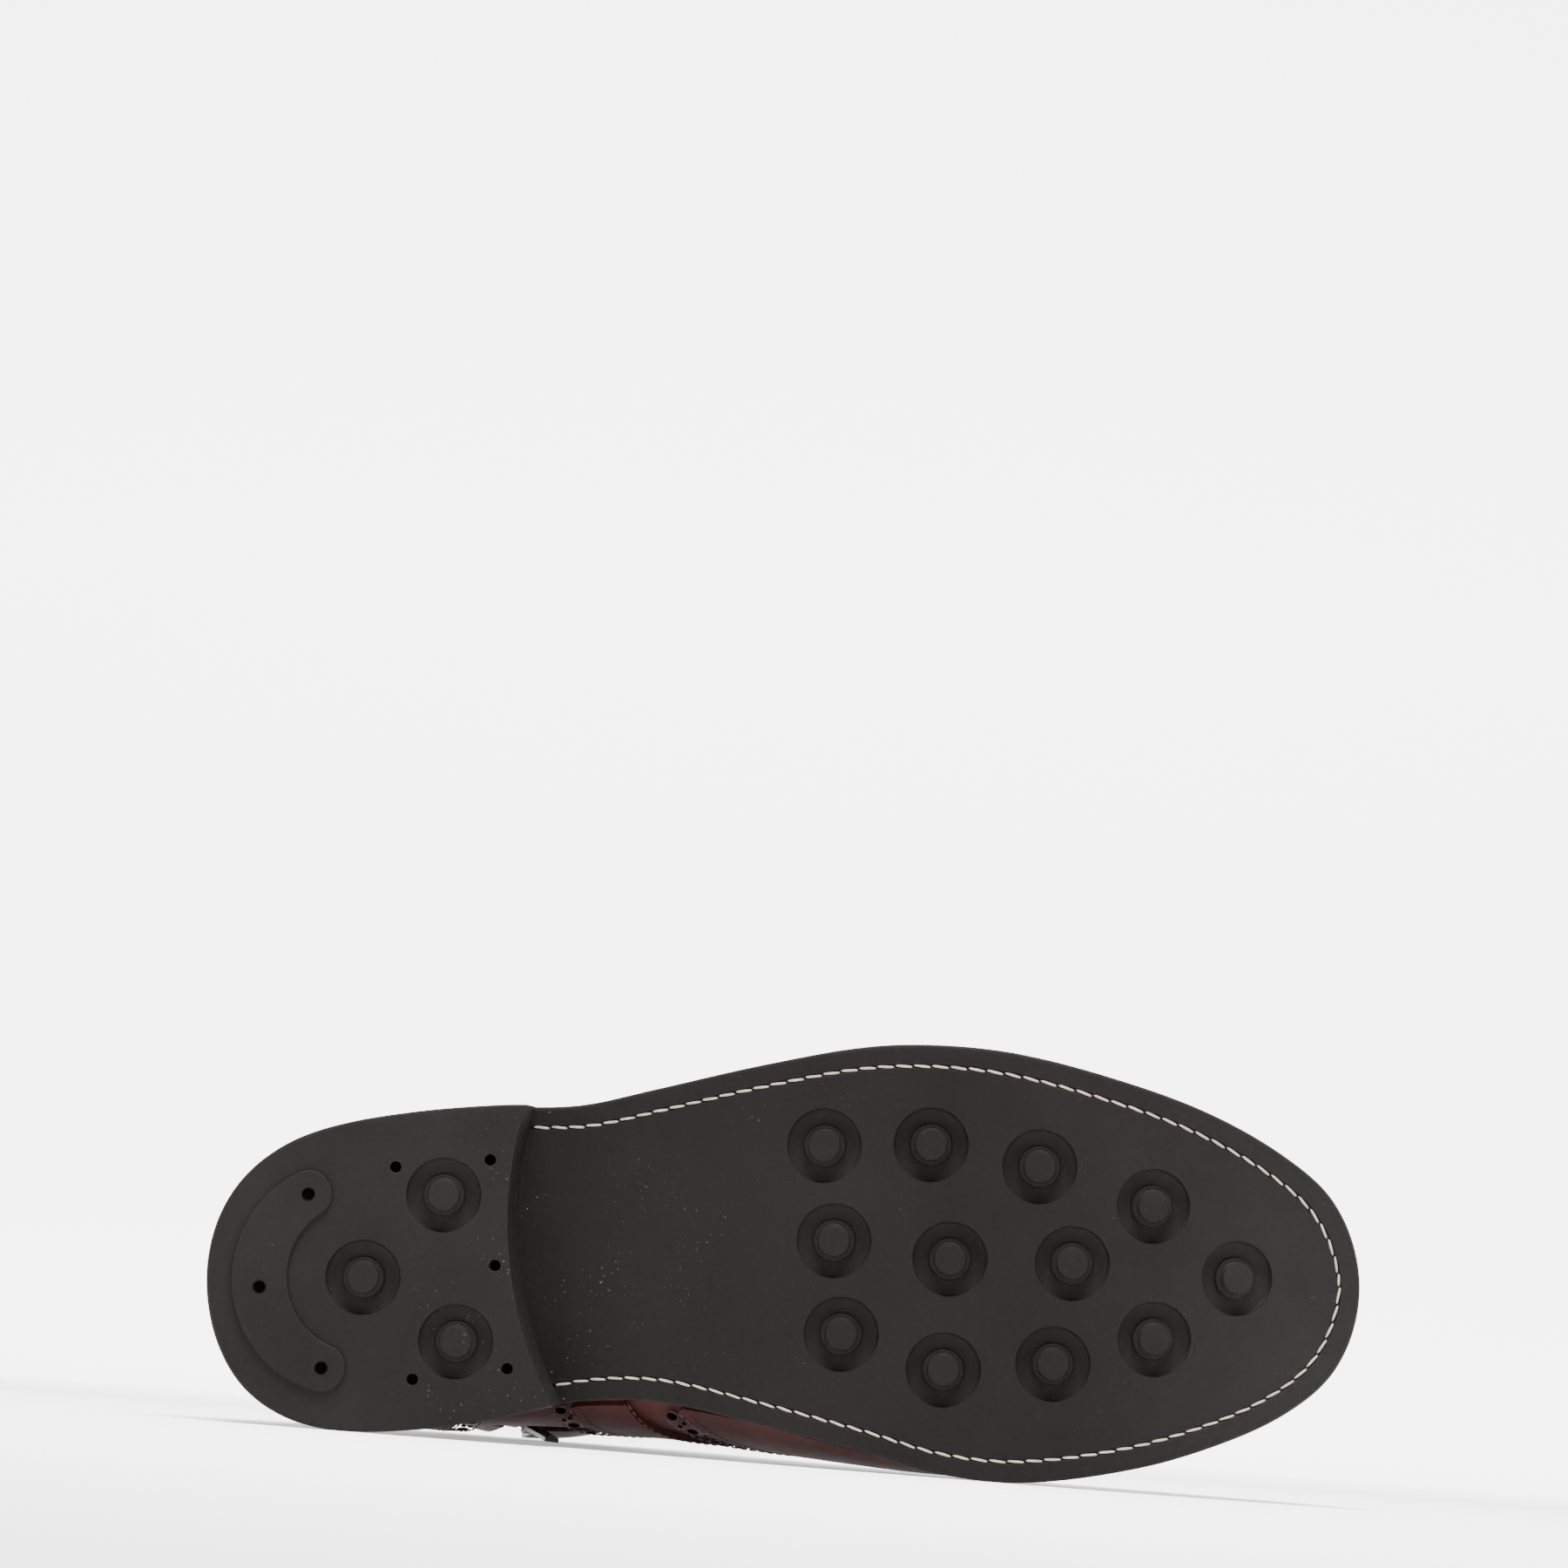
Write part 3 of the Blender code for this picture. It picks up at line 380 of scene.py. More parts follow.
def along_boot(tree):
    """0 at the heel's back and 1 at the toe."""
    split = tree.nodes.new("ShaderNodeSeparateXYZ")
    wire(tree, coordinates(tree), split.inputs[0])
    scale = tree.nodes.new("ShaderNodeMapRange")
    scale.inputs["From Min"].default_value = -LENGTH / 2
    scale.inputs["From Max"].default_value = LENGTH / 2
    wire(tree, split.outputs["X"], scale.inputs["Value"])
    return scale.outputs["Result"]


def base(name, roughness, metallic=0.0, coat=0.0, specular=0.5):
    made = bpy.data.materials.new(name)
    made.use_nodes = True
    tree = made.node_tree
    shader = tree.nodes["Principled BSDF"]
    shader.inputs["Roughness"].default_value = roughness
    shader.inputs["Metallic"].default_value = metallic
    shader.inputs["Coat Weight"].default_value = coat
    shader.inputs["Coat Roughness"].default_value = 0.25
    shader.inputs["Specular IOR Level"].default_value = specular
    return made, tree, shader


def bump(tree, shader, sources, distance=0.0002):
    last = None
    for source, strength in sources:
        node = tree.nodes.new("ShaderNodeBump")
        node.inputs["Strength"].default_value = strength
        node.inputs["Distance"].default_value = distance
        wire(tree, source, node.inputs["Height"])
        if last is not None:
            wire(tree, last, node.inputs["Normal"])
        last = node.outputs["Normal"]
    wire(tree, last, shader.inputs["Normal"])


def leather_look(name, light, dark, roughness=0.44, coat=0.04, grain=0.35):
    made, tree, shader = base(name, roughness, coat=coat, specular=0.2)
    colour = ramp(tree, noise(tree, 38, 4, 0.6), [(0.32, dark), (0.68, light)])
    wire(tree, colour, shader.inputs["Base Color"])
    gloss = ramp(tree, noise(tree, 70, 3), [(0.3, (roughness - .06,) * 3),
                                            (0.7, (roughness + .1,) * 3)])
    wire(tree, gloss, shader.inputs["Roughness"])
    cells = tree.nodes.new("ShaderNodeTexVoronoi")
    cells.feature = "DISTANCE_TO_EDGE"
    cells.inputs["Scale"].default_value = 900
    wire(tree, coordinates(tree), cells.inputs["Vector"])
    grooves = ramp(tree, cells.outputs["Distance"], [(0.0, (0, 0, 0)), (0.12, (1, 1, 1))])
    bump(tree, shader, [(grooves, grain * 0.35), (noise(tree, 420, 3), grain)], 0.00012)
    return made


def rubber_look():
    made, tree, shader = base("worn_rubber", 0.6, specular=0.06)
    # Painted shade darkens the waist behind the heel's breast and painted light lightens the toe;
    # the noise and dust below are the rubber's own
    tone = ramp(tree, along_boot(tree), [
        (0.0, (0.0088, 0.0080, 0.0078)), (0.25, (0.0070, 0.0065, 0.0062)),
        (0.5, (0.0066, 0.0056, 0.0054)), (0.75, (0.0062, 0.0054, 0.0051)),
        (0.93, (0.0090, 0.0080, 0.0077)), (1.0, (0.0105, 0.0095, 0.0092)),
    ])
    cloudy = ramp(tree, noise(tree, 22, 4, 0.6), [(0.3, (0.82,) * 3), (0.7, (1.14,) * 3)])
    tone = mixed(tree, 1.0, tone, cloudy, "MULTIPLY")
    specks = ramp(tree, noise(tree, 1500, 1), [(0.735, (0, 0, 0)), (0.76, (1, 1, 1))])
    near = ramp(tree, along_boot(tree), [
        (0.16, (0.15,) * 3), (0.26, (0.8,) * 3), (0.36, (0.5,) * 3), (0.5, (0.1,) * 3),
        (0.9, (0.12,) * 3), (1.0, (0.3,) * 3),
    ])
    patch = ramp(tree, noise(tree, 60, 2), [(0.45, (0, 0, 0)), (0.62, (1, 1, 1))])
    dust = mixed(tree, 1.0, mixed(tree, 1.0, specks, near, "MULTIPLY"), patch, "MULTIPLY")
    tone = mixed(tree, dust, tone, (0.13, 0.12, 0.11))
    wire(tree, tone, shader.inputs["Base Color"])
    gloss = ramp(tree, noise(tree, 90, 3), [(0.3, (0.52,) * 3), (0.7, (0.68,) * 3)])
    wire(tree, gloss, shader.inputs["Roughness"])
    bump(tree, shader, [(noise(tree, 700, 4, 0.65), 0.22), (noise(tree, 60, 3), 0.12)], 0.0002)
    return made


def plain_look(name, colour, roughness, metallic=0.0, grain=0.2, scale=600, specular=0.5):
    made, tree, shader = base(name, roughness, metallic, 0.0, specular)
    dark = tuple(channel * 0.72 for channel in colour)
    tone = ramp(tree, noise(tree, scale / 8, 3), [(0.3, dark), (0.7, colour)])
    wire(tree, tone, shader.inputs["Base Color"])
    bump(tree, shader, [(noise(tree, scale, 3), grain)], 0.0001)
    return made


def woven_look(name, colour):
    made, tree, shader = base(name, 0.85)
    wave = tree.nodes.new("ShaderNodeTexWave")
    wave.inputs["Scale"].default_value = 420
    wave.inputs["Distortion"].default_value = 1.2
    tone = ramp(tree, noise(tree, 300, 3), [(0.3, tuple(c * 0.6 for c in colour)), (0.7, colour)])
    wire(tree, coordinates(tree), wave.inputs["Vector"])
    wire(tree, tone, shader.inputs["Base Color"])
    bump(tree, shader, [(wave.outputs["Fac"], 0.5)], 0.0002)
    return made


RUBBER = rubber_look()
OXBLOOD = leather_look("oxblood_leather", (0.050, 0.0125, 0.0105), (0.027, 0.0072, 0.0065))
OXBLOOD_PANEL = leather_look("oxblood_panels", (0.041, 0.0105, 0.0090), (0.021, 0.0058, 0.0052))
DARK = leather_look("dark_leather", (0.020, 0.0075, 0.0065), (0.010, 0.0045, 0.0040), 0.48, 0.03)
LINING = leather_look("tan_lining", (0.42, 0.27, 0.15), (0.33, 0.20, 0.11), 0.6, 0.0, 0.25)
THREAD = plain_look("cream_thread", (0.31, 0.265, 0.20), 0.8, grain=0.5, scale=2500)
DARK_THREAD = plain_look("dark_thread", (0.050, 0.020, 0.016), 0.6, grain=0.5, scale=2500)
CORD = woven_look("round_lace", (0.050, 0.022, 0.018))
TAPE = woven_look("zip_tape_cloth", (0.022, 0.018, 0.017))
BRASS = plain_look("old_brass", (0.34, 0.23, 0.11), 0.32, 1.0, 0.1)
GUNMETAL = plain_look("black_metal", (0.016, 0.015, 0.015), 0.38, 0.2, 0.08)
# Painted shade: a near-black finish for discs that stand for the shaded insides of holes
PAINTED_HOLE_SHADE = plain_look("hole_shadow", (0.0012, 0.0008, 0.0007), 1.0, specular=0.0)


# Building

def finish_mesh(name, points, faces, finish, body="boot", stands_for=(), angle=35):
    """A mesh built in the standing frame and laid down, with its material and body."""
    mesh = bpy.data.meshes.new(name)
    mesh.from_pydata([tuple(map(float, point)) for point in points], [], faces)
    mesh.validate()
    made = bpy.data.objects.new(name, mesh)
    bpy.context.scene.collection.objects.link(made)
    mesh.materials.append(finish)
    mesh.shade_smooth()
    mesh.set_sharp_from_angle(angle=math.radians(angle))
    mesh.transform(LAID)
    if body:
        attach(made, body)
    if stands_for:
        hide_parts(*stands_for)
    return made


def grid_faces(rows, columns, wrap=False, offset=0):
    faces = []
    for j in range(rows - 1):
        for i in range(columns if wrap else columns - 1):
            k = (i + 1) % columns
            a, b = offset + j * columns, offset + (j + 1) * columns
            faces.append((a + i, b + i, b + k, a + k))
    return faces


def lathe(profile, sides, place):
    """Points and faces of a turned body; its profile starts and ends on the axis."""
    points, rings, faces = [], [], []
    for radius, height in profile:
        count = sides if radius > 0 else 1
        ring = []
        for i in range(count):
            angle = 2 * math.pi * i / sides
            spot = Vector((radius * math.cos(angle), radius * math.sin(angle), height))
            ring.append(len(points))
            points.append(place @ spot)
        rings.append(ring)
    for low, high in zip(rings, rings[1:]):
        for i in range(sides):
            corners = [low[i % len(low)], low[(i + 1) % len(low)]]
            corners += [high[(i + 1) % len(high)], high[i % len(high)]]
            faces.append(list(dict.fromkeys(corners)))
    return points, faces


def joined(parts):
    points, faces = [], []
    for some, these in parts:
        base_index = len(points)
        points += list(some)
        faces += [[base_index + i for i in face] for face in these]
    return points, faces


def tool(name, points, faces):
    mesh = bpy.data.meshes.new(name)
    mesh.from_pydata([tuple(point) for point in points], [], faces)
    bm = bmesh.new()
    bm.from_mesh(mesh)
    bmesh.ops.recalc_face_normals(bm, faces=bm.faces)
    bm.to_mesh(mesh)
    bm.free()
    made = bpy.data.objects.new(name, mesh)
    bpy.context.scene.collection.objects.link(made)
    return made


def cut(target, tools):
    """Applies Booleans in order and removes their tools."""
    for other, operation in tools:
        change = target.modifiers.new(other.name, "BOOLEAN")
        change.operation = operation
        change.solver = "EXACT"
        change.object = other
        bpy.context.view_layer.update()
        graph = bpy.context.evaluated_depsgraph_get()
        done = bpy.data.meshes.new_from_object(target.evaluated_get(graph))
        target.modifiers.clear()
        target.data = done
        bpy.data.objects.remove(other)


def dress(made, name, finish, stands_for, angle=30):
    """Names a built standing-frame object and gives it its finish, place and body."""
    made.name = name
    mesh = made.data
    mesh.materials.clear()
    mesh.materials.append(finish)
    mesh.shade_smooth()
    mesh.set_sharp_from_angle(angle=math.radians(angle))
    for face in mesh.polygons:
        x, _, z = face.center
        ground = PROUD if x < 1.2 * HEEL_LENGTH and z < HEEL_HEIGHT / 2 else underside(x)
        if abs(z - ground) < 0.00008 or abs(z) < 0.00002:
            face.use_smooth = False
    mesh.transform(LAID)
    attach(made, "boot")
    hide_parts(*stands_for)


# The sole

RECESS_RADIUS = 0.0099
RECESS = (
    (0.0, PROUD * 2), (RECESS_RADIUS + 0.0003, PROUD * 2), (RECESS_RADIUS + 0.0003, 0.0003),
    (RECESS_RADIUS, 0.0), (RECESS_RADIUS - 0.0001, -0.0014), (RECESS_RADIUS - 0.0005, -0.0019),
    (0.0080, -0.0023), (0.0068, -0.0025), (0.0050, -0.0026), (0.0, -0.0026),
)
STUD = (
    (0.0, PROUD), (0.0036, PROUD), (0.0040, PROUD - 0.00012), (0.0042, PROUD - 0.0005),
    (0.0043, -0.0010), (0.0045, -0.0012), (0.0051, -0.00125), (0.0054, -0.0015),
    (0.0056, -0.0020), (0.0058, -0.0034), (0.0, -0.0034),
)
STUD_SIDES = 72


def on_sole(along, across):
    x = along * LENGTH
    slope = (underside(x + 0.001) - underside(x - 0.001)) / 0.002
    turn = Matrix.Rotation(math.pi + math.atan(-slope), 4, "Y")
    return Matrix.Translation((x, across * WIDTH, underside(x))) @ turn


def on_heel(along, across):
    spot = (along * LENGTH, across * WIDTH, PROUD)
    return Matrix.Translation(spot) @ Matrix.Rotation(math.pi, 4, "Y")


def stud_tools(places, frame_of):
    spots = [frame_of(*place) for place in places]
    recesses = joined([lathe(RECESS, STUD_SIDES, spot) for spot in spots])
    studs = joined([lathe(STUD, STUD_SIDES, spot) for spot in spots])
    return [(tool("recesses", *recesses), "DIFFERENCE"), (tool("studs", *studs), "UNION")]


def pin_tool(places, deep=0.0030, radius=0.0015):
    wide = radius + 0.0003
    profile = [(0.0, 0.002), (wide, 0.002), (wide, 0.0002), (radius, -0.0001)]
    profile += [(radius * 0.95, -deep), (0.0, -deep)]
    return tool("pins", *joined([lathe(profile, 28, on_heel(*place)) for place in places]))


def breast_tool():
    height = 2 * HEEL_HEIGHT
    slant = BREAST_SLANT / HEEL_HEIGHT
    low = BREAST_RADIUS + slant * HEEL_HEIGHT / 2
    high = BREAST_RADIUS - slant * 3 * HEEL_HEIGHT / 2
    place = Matrix.Translation((HEEL_LENGTH + BREAST_RADIUS, BREAST_AXIS, -HEEL_HEIGHT / 2))
    return tool("breast", *lathe([(0, 0), (low, 0), (high, height), (0, height)], 400, place))


CHANNEL_INSET = 0.0058
CHANNEL_HALF = 0.0006
SOLE_SECTION = (
    (0.0, "top", 0.0), (0.0, "mid", 0.0), (0.00005, "low", 0.0010), (0.0002, "low", 0.0005),
    (0.0006, "low", 0.00012), (0.0012, "low", 0.0),
    (CHANNEL_INSET - CHANNEL_HALF - 0.0001, "low", 0.0),
    (CHANNEL_INSET - CHANNEL_HALF, "low", 0.0001),
    (CHANNEL_INSET - 0.0003, "low", 0.00055), (CHANNEL_INSET + 0.0003, "low", 0.00055),
    (CHANNEL_INSET + CHANNEL_HALF, "low", 0.0001),
    (CHANNEL_INSET + CHANNEL_HALF + 0.0001, "low", 0.0),
)


def loop_places(count, low=0.0, high=1.0):
    """Phases and sides all round an outline, from the back by the inner side."""
    phases = spread(low, high, count)
    return [(phase, True) for phase in phases[:-1]] + [(phase, False) for phase in phases[:0:-1]]


def make_sole():
    count = 220
    places = loop_places(count)
    points = []
    for inset, where, lift in SOLE_SECTION:
        for phase, inner in places:
            x, y = outline_point(phase, inner, inset)
            z = {"top": topside(x), "mid": underside(x) + 0.003, "low": underside(x) + lift}[where]
            points.append((x, y, z))
    width = len(places)
    faces = grid_faces(len(SOLE_SECTION), width, True)
    last = (len(SOLE_SECTION) - 1) * width
    for ring, flip in ((0, True), (last, False)):
        for i in range(1, count):
            a, b = ring + i, ring + i + 1
            c, d = ring + (width - i - 1) % width, ring + (width - i) % width
            quad = [a, b, c, d] if i < count - 1 else [a, b, d]
            faces.append(quad[::-1] if flip else quad)
        faces.append([ring, ring + 1, ring + width - 1])
    made = tool("sole", points, faces)
    cut(made, stud_tools(FORE_STUDS, on_sole))
    dress(made, "outsole_fine", RUBBER, ("outsole",))


def make_heel():
    reach = phase_at(1.25 * HEEL_LENGTH / LENGTH)
    count = 90
    phases = spread(0.0, reach, count)
    places = [(phase, True) for phase in phases[::-1]] + [(phase, False) for phase in phases[1:]]
    section = [(0.0, None), (0.0, 0.0011), (0.00015, 0.0005), (0.0005, 0.0001), (0.0012, 0.0)]
    points = []
    for inset, lift in section:
        for phase, inner in places:
            x, y = outline_point(phase, inner, inset)
            points.append((x, y, underside(x) - FIT if lift is None else PROUD + lift))
    width = len(places)
    faces = grid_faces(len(section), width)
    faces.append([j * width for j in range(len(section))] +
                 [j * width + width - 1 for j in range(len(section))][::-1])
    for ring in (0, (len(section) - 1) * width):
        for i in range(count):
            a, b = ring + i, ring + i + 1
            c, d = ring + width - 2 - i, ring + width - 1 - i
            faces.append([a, b, c, d] if b != c else [a, b, d])
    made = tool("heel_body", points, faces)
    tools = [(breast_tool(), "DIFFERENCE")] + stud_tools(HEEL_STUDS, on_heel)
    tools.append((pin_tool(HEEL_PINS), "DIFFERENCE"))
    cut(made, tools)
    dress(made, "heel_fine", RUBBER, ("heel",))


def circle_through(a, b, c):
    ab, ac = b - a, c - a
    turn = 2 * (ab.x * ac.y - ab.y * ac.x)
    x = (ac.y * ab.length_squared - ab.y * ac.length_squared) / turn
    y = (ab.x * ac.length_squared - ac.x * ab.length_squared) / turn
    return a + Vector((x, y))


def make_heel_tip():
    lobe, middle = 0.0063, 0.0074
    pins = [Vector((along * LENGTH, across * WIDTH)) for along, across in TIP_PINS]
    centre = circle_through(*pins)
    radius = (pins[0] - centre).length
    ends = [pins[0] - centre, pins[2] - centre]
    start = math.atan2(-ends[0].y, -ends[0].x)
    stop = math.atan2(-ends[1].y, -ends[1].x)

    def loop(inset):
        outer, inner = [], []
        for share in spread(0.0, 1.0, 60):
            angle = start + (stop - start) * share
            half = lobe + (middle - lobe) * math.sin(math.pi * share) - inset
            ray = Vector((-math.cos(angle), -math.sin(angle)))
            outer.append(centre + (radius + half) * ray)
            inner.append(centre + (radius - half) * ray)

        def cap(pin, first):
            turns = [math.copysign(math.pi, stop - start) * i / 24 for i in range(1, 24)]
            return [pin + Matrix.Rotation(turn, 2) @ (first - pin) for turn in turns]

        return outer + cap(pins[2], outer[-1]) + inner[::-1] + cap(pins[0], inner[0])

    points = []
    section = [(0.0, PROUD - FIT), (0.0, 0.0004), (0.0002, 0.0001), (0.0005, 0.0)]
    for inset, height in section:
        points += [(spot.x, spot.y, height) for spot in loop(inset)]
    width = len(points) // len(section)
    faces = grid_faces(len(section), width, True)
    faces.append(list(range(width))[::-1])
    faces.append(list(range((len(section) - 1) * width, len(section) * width)))
    made = tool("tip_body", points, faces)
    cut(made, [(pin_tool(TIP_PINS, 0.0006), "DIFFERENCE")])
    dress(made, "heel_tip_fine", RUBBER, ("heel_tip",))


def capsules(name, runs, radius, finish, flat=1.0, sides=8):
    """Short threads from start to stop, each with a normal that it lies flat against."""
    parts = []
    for start, stop, normal in runs:
        along = (stop - start).normalized()
        side = normal.cross(along).normalized()
        up = along.cross(side)
        points = []
        shape = ((0.0, 0.35), (0.12, 0.85), (0.5, 1.0), (0.88, 0.85), (1.0, 0.35))
        for share, girth in shape:
            sink = -0.55 * radius if share in (0.0, 1.0) else 0.0
            centre = start.lerp(stop, share) + up * sink
            for i in range(sides):
                angle = 2 * math.pi * i / sides
                points.append(centre + side * (math.cos(angle) * radius * girth)
                              + up * (math.sin(angle) * radius * girth * flat))
        faces = grid_faces(len(shape), sides, True)
        faces.append(list(range(sides)))
        faces.append(list(range((len(shape) - 1) * sides, len(shape) * sides))[::-1])
        parts.append((points, faces))
    return finish_mesh(name, *joined(parts), finish)


def even_steps(path, pitch):
    """Points at even distances along a path."""
    lengths = [0.0]
    for a, b in zip(path, path[1:]):
        lengths.append(lengths[-1] + (b - a).length)
    count = max(int(lengths[-1] / pitch), 1)
    places, j = [], 0
    for i in range(count + 1):
        at = lengths[-1] * i / count
        while j < len(lengths) - 2 and lengths[j + 1] < at:
            j += 1
        share = (at - lengths[j]) / (lengths[j + 1] - lengths[j])
        places.append(path[j].lerp(path[j + 1], share))
    return places


def make_sole_stitches():
    path = []
    for phase, inner in loop_places(600):
        x, y = outline_point(phase, inner, CHANNEL_INSET)
        depth = BREAST_RADIUS ** 2 - (y - BREAST_AXIS) ** 2
        breast = HEEL_LENGTH + BREAST_RADIUS - math.sqrt(max(depth, 0.0))
        if x > breast + 0.0022:
            path.append(Vector((x, y, underside(x) + 0.00025)))
    knots = even_steps(path, 0.0048)
    runs = []
    for a, b in zip(knots, knots[1:]):
        across = (b - a).normalized().cross(Vector((0, 0, 1))) * 0.00022
        start = a.lerp(b, 0.05) + across
        stop = a.lerp(b, 0.95) - across
        runs.append((start, stop, Vector((0, 0, -1))))
    capsules("sole_stitches", runs, 0.00036, THREAD, 0.9, 10)


def make_pin_shadows():
    disc = [(0.0, 0.0), (0.00135, 0.0), (0.00135, -0.0002), (0.0, -0.0002)]
    turn = Matrix.Rotation(math.pi, 4, "Y")
    parts = []
    for places, height in ((TIP_PINS, 0.0005), (HEEL_PINS, 0.0035)):
        for along, across in places:
            spot = Matrix.Translation((along * LENGTH, across * WIDTH, height)) @ turn
            parts.append(lathe(disc, 24, spot))
    finish_mesh("pin_shadows", *joined(parts), PAINTED_HOLE_SHADE)


def make_welt():
    places = loop_places(240)
    section = (
        ("in", -0.0005, 0.0), ("out", 0.0006, 0.0), ("out", 0.0003, 0.0004),
        ("out", 0.0003, 0.0026), ("out", 0.0007, WELT_THICKNESS), ("in", -0.0005, WELT_THICKNESS),
    )
    foot = FOOT_GAP * 0.3
    points = []
    for kind, inset, height in section:
        for phase, inner in places:
            if kind == "out":
                x, y = outline_point(phase, inner, inset)
            else:
                side = 1 if inner else -1
                x, y, _ = leather_point(0.0, side * phase)
                y += side * -inset * math.sin(math.pi * phase) ** 0.4
            points.append((x, y, topside(x) + foot + height))
    width = len(places)
    faces = grid_faces(len(section), width, True)
    last = (len(section) - 1) * width
    faces += [(last + i, i, (i + 1) % width, last + (i + 1) % width) for i in range(width)]
    finish_mesh("welt_fine", points, faces, DARK, stands_for=("welt",))
    path = []
    for phase, inner in loop_places(600):
        x, y = outline_point(phase, inner, 0.0024)
        path.append(Vector((x, y, topside(x) + foot + WELT_THICKNESS + 0.0001)))
    knots = even_steps(path, 0.0036)
    runs = [(a.lerp(b, 0.1), a.lerp(b, 0.9), Vector((0, 0, 1))) for a, b in zip(knots, knots[1:])]
    capsules("welt_stitches", runs, 0.00035, THREAD, 0.9)


make_sole()
make_heel()
make_heel_tip()
make_sole_stitches()
make_pin_shadows()
make_welt()


# The upper

PANEL_OUT = 0.0017
EDGE_OUT = PANEL_OUT + 0.00012
EYELET_OUT = 0.0019
COUNTER_TOP = 6.9
TONGUE_FOOT = 8.3
TONGUE_TOP = 12.7
TONGUE_OUT = -0.0034
TONGUE_THICKNESS = 0.003
LINING_THICKNESS = 0.0004
ZIP_FOOT = 5.75
ZIP_TOP = 11.87
LACE_RADIUS = 0.0012
LACE_OUT = 0.0051
FACING_BACK = (0.305, 0.31, 0.325, 0.345, 0.372, 0.40, 0.427, 0.453)
FACING_FRONT = (0.345, 0.35, 0.368, 0.392, 0.425, 0.462, 0.50, 0.535)
COUNTER_FRONT = (0.215, 0.212, 0.20, 0.185, 0.165, 0.14, 0.112, 0.085)
FACING_TURN = (
    (7.1, .556, 7.1, .633), (7.5, .585, 7.6, .695), (7.9, .620, 8.05, .765),
    (8.3, .665, 8.4, .835), (8.65, .712, 8.7, .90), (9.0, .765, 8.95, .95),
)
FACING_STRAIGHT = 9.4
WING = (
    (1.4, .443), (2.4, .468), (3.3, .50), (4.2, .54), (5.0, .59), (5.8, .645), (6.3, .70),
    (6.6, .77), (6.6, .84), (6.5, .90), (6.75, .95), (7.5, 1.0),
)


def shell(grids, out, thick):
    """A closed sheet over one or more grids of (levels, arounds) that share their seams."""
    index, places, faces = {}, [], []
    for levels, arounds in grids:
        rows, columns = levels.shape
        ids = []
        for level, around in zip(levels.ravel(), arounds.ravel()):
            key = (round(float(level), 5), round(float(around) % 2, 5) % 2)
            if key not in index:
                index[key] = len(places)
                places.append((level, around))
            ids.append(index[key])
        for face in grid_faces(rows, columns):
            corners = list(dict.fromkeys(ids[i] for i in face))
            if len(corners) > 2:
                faces.append(corners)
    count = len(places)
    level, around = np.array(places).T
    points = list(skin(level, around, out)) + list(skin(level, around, out - thick))
    edges = {(a, b) for face in faces for a, b in zip(face, face[1:] + face[:1])}
    rim = [(b, a, a + count, b + count) for a, b in edges if (b, a) not in edges]
    return points, faces + [[i + count for i in face[::-1]] for face in faces] + rim


def rows_to_grid(rows, columns):
    """Rows of (level, around, level, around) ends filled with even columns."""
    share = np.linspace(0, 1, columns)
    rows = np.array(rows, float)
    levels = rows[:, 0:1] * (1 - share) + rows[:, 2:3] * share
    arounds = rows[:, 1:2] * (1 - share) + rows[:, 3:4] * share
    return levels, arounds


def ring_share(shares, level):
    return phase_at_x(level, curve_through(list(range(8)), shares, min(level, 7)) * LENGTH)


def facing_rows(count):
    rows = []
    for level in spread(LOWEST_PANEL, COUNTER_TOP, 22):
        back, front = ring_share(FACING_BACK, level), ring_share(FACING_FRONT, level)
        rows.append((level, back, level, front))
    rows += FACING_TURN
    for level in spread(FACING_STRAIGHT, BAND_TOP, 18):
        rows.append((level, throat_phase(level, THROAT_GAP + FACING_WIDTH),
                     level, throat_phase(level, THROAT_GAP + FIT)))
    rows = np.array(rows)
    knots = np.linspace(0, 1, len(rows))
    at = np.linspace(0, 1, count)
    return np.stack([np.interp(at, knots, rows[:, i]) for i in range(4)], 1)


def throat_edge(level):
    return throat_phase(level) if level > THROAT_RING else 1.0


def zip_edge(level, side):
    return phase_at_x(level, zip_x(level) + side * ZIP_HALF_SLOT * (level > ZIP_RING))


def make_upper():
    levels = sorted(set(spread(0.0, THROAT_RING, 90) + spread(THROAT_RING, COLLAR_RING, 40)))
    levels = sorted(set(levels + [ZIP_RING, ZIP_RING + 0.001, THROAT_RING + 0.001]))
    back = [(level, -throat_edge(level), level, zip_edge(level, -1)) for level in levels]
    front = [(level, zip_edge(level, 1), level, throat_edge(level)) for level in levels]
    grids = [rows_to_grid(back, 260), rows_to_grid(front, 110)]
    finish_mesh("upper_fine", *shell(grids, 0.0, WALL), OXBLOOD, stands_for=("upper",), angle=50)
    lining = [rows_to_grid(back[60:], 120), rows_to_grid(front[60:], 60)]
    finish_mesh("lining", *shell(lining, -WALL - 0.00005, LINING_THICKNESS), LINING, angle=50)


def wing_level(phase):
    return np.interp(phase, [row[1] for row in WING], [row[0] for row in WING])


def wing_path():
    phases = np.linspace(WING[0][1], 2 - WING[0][1], 400)
    smooth = np.array([wing_level(1 - abs(1 - phase)) for phase in phases])
    for _ in range(6):
        smooth[1:-1] = (smooth[:-2] + 2 * smooth[1:-1] + smooth[2:]) / 4
    return np.stack([smooth, phases], 1)


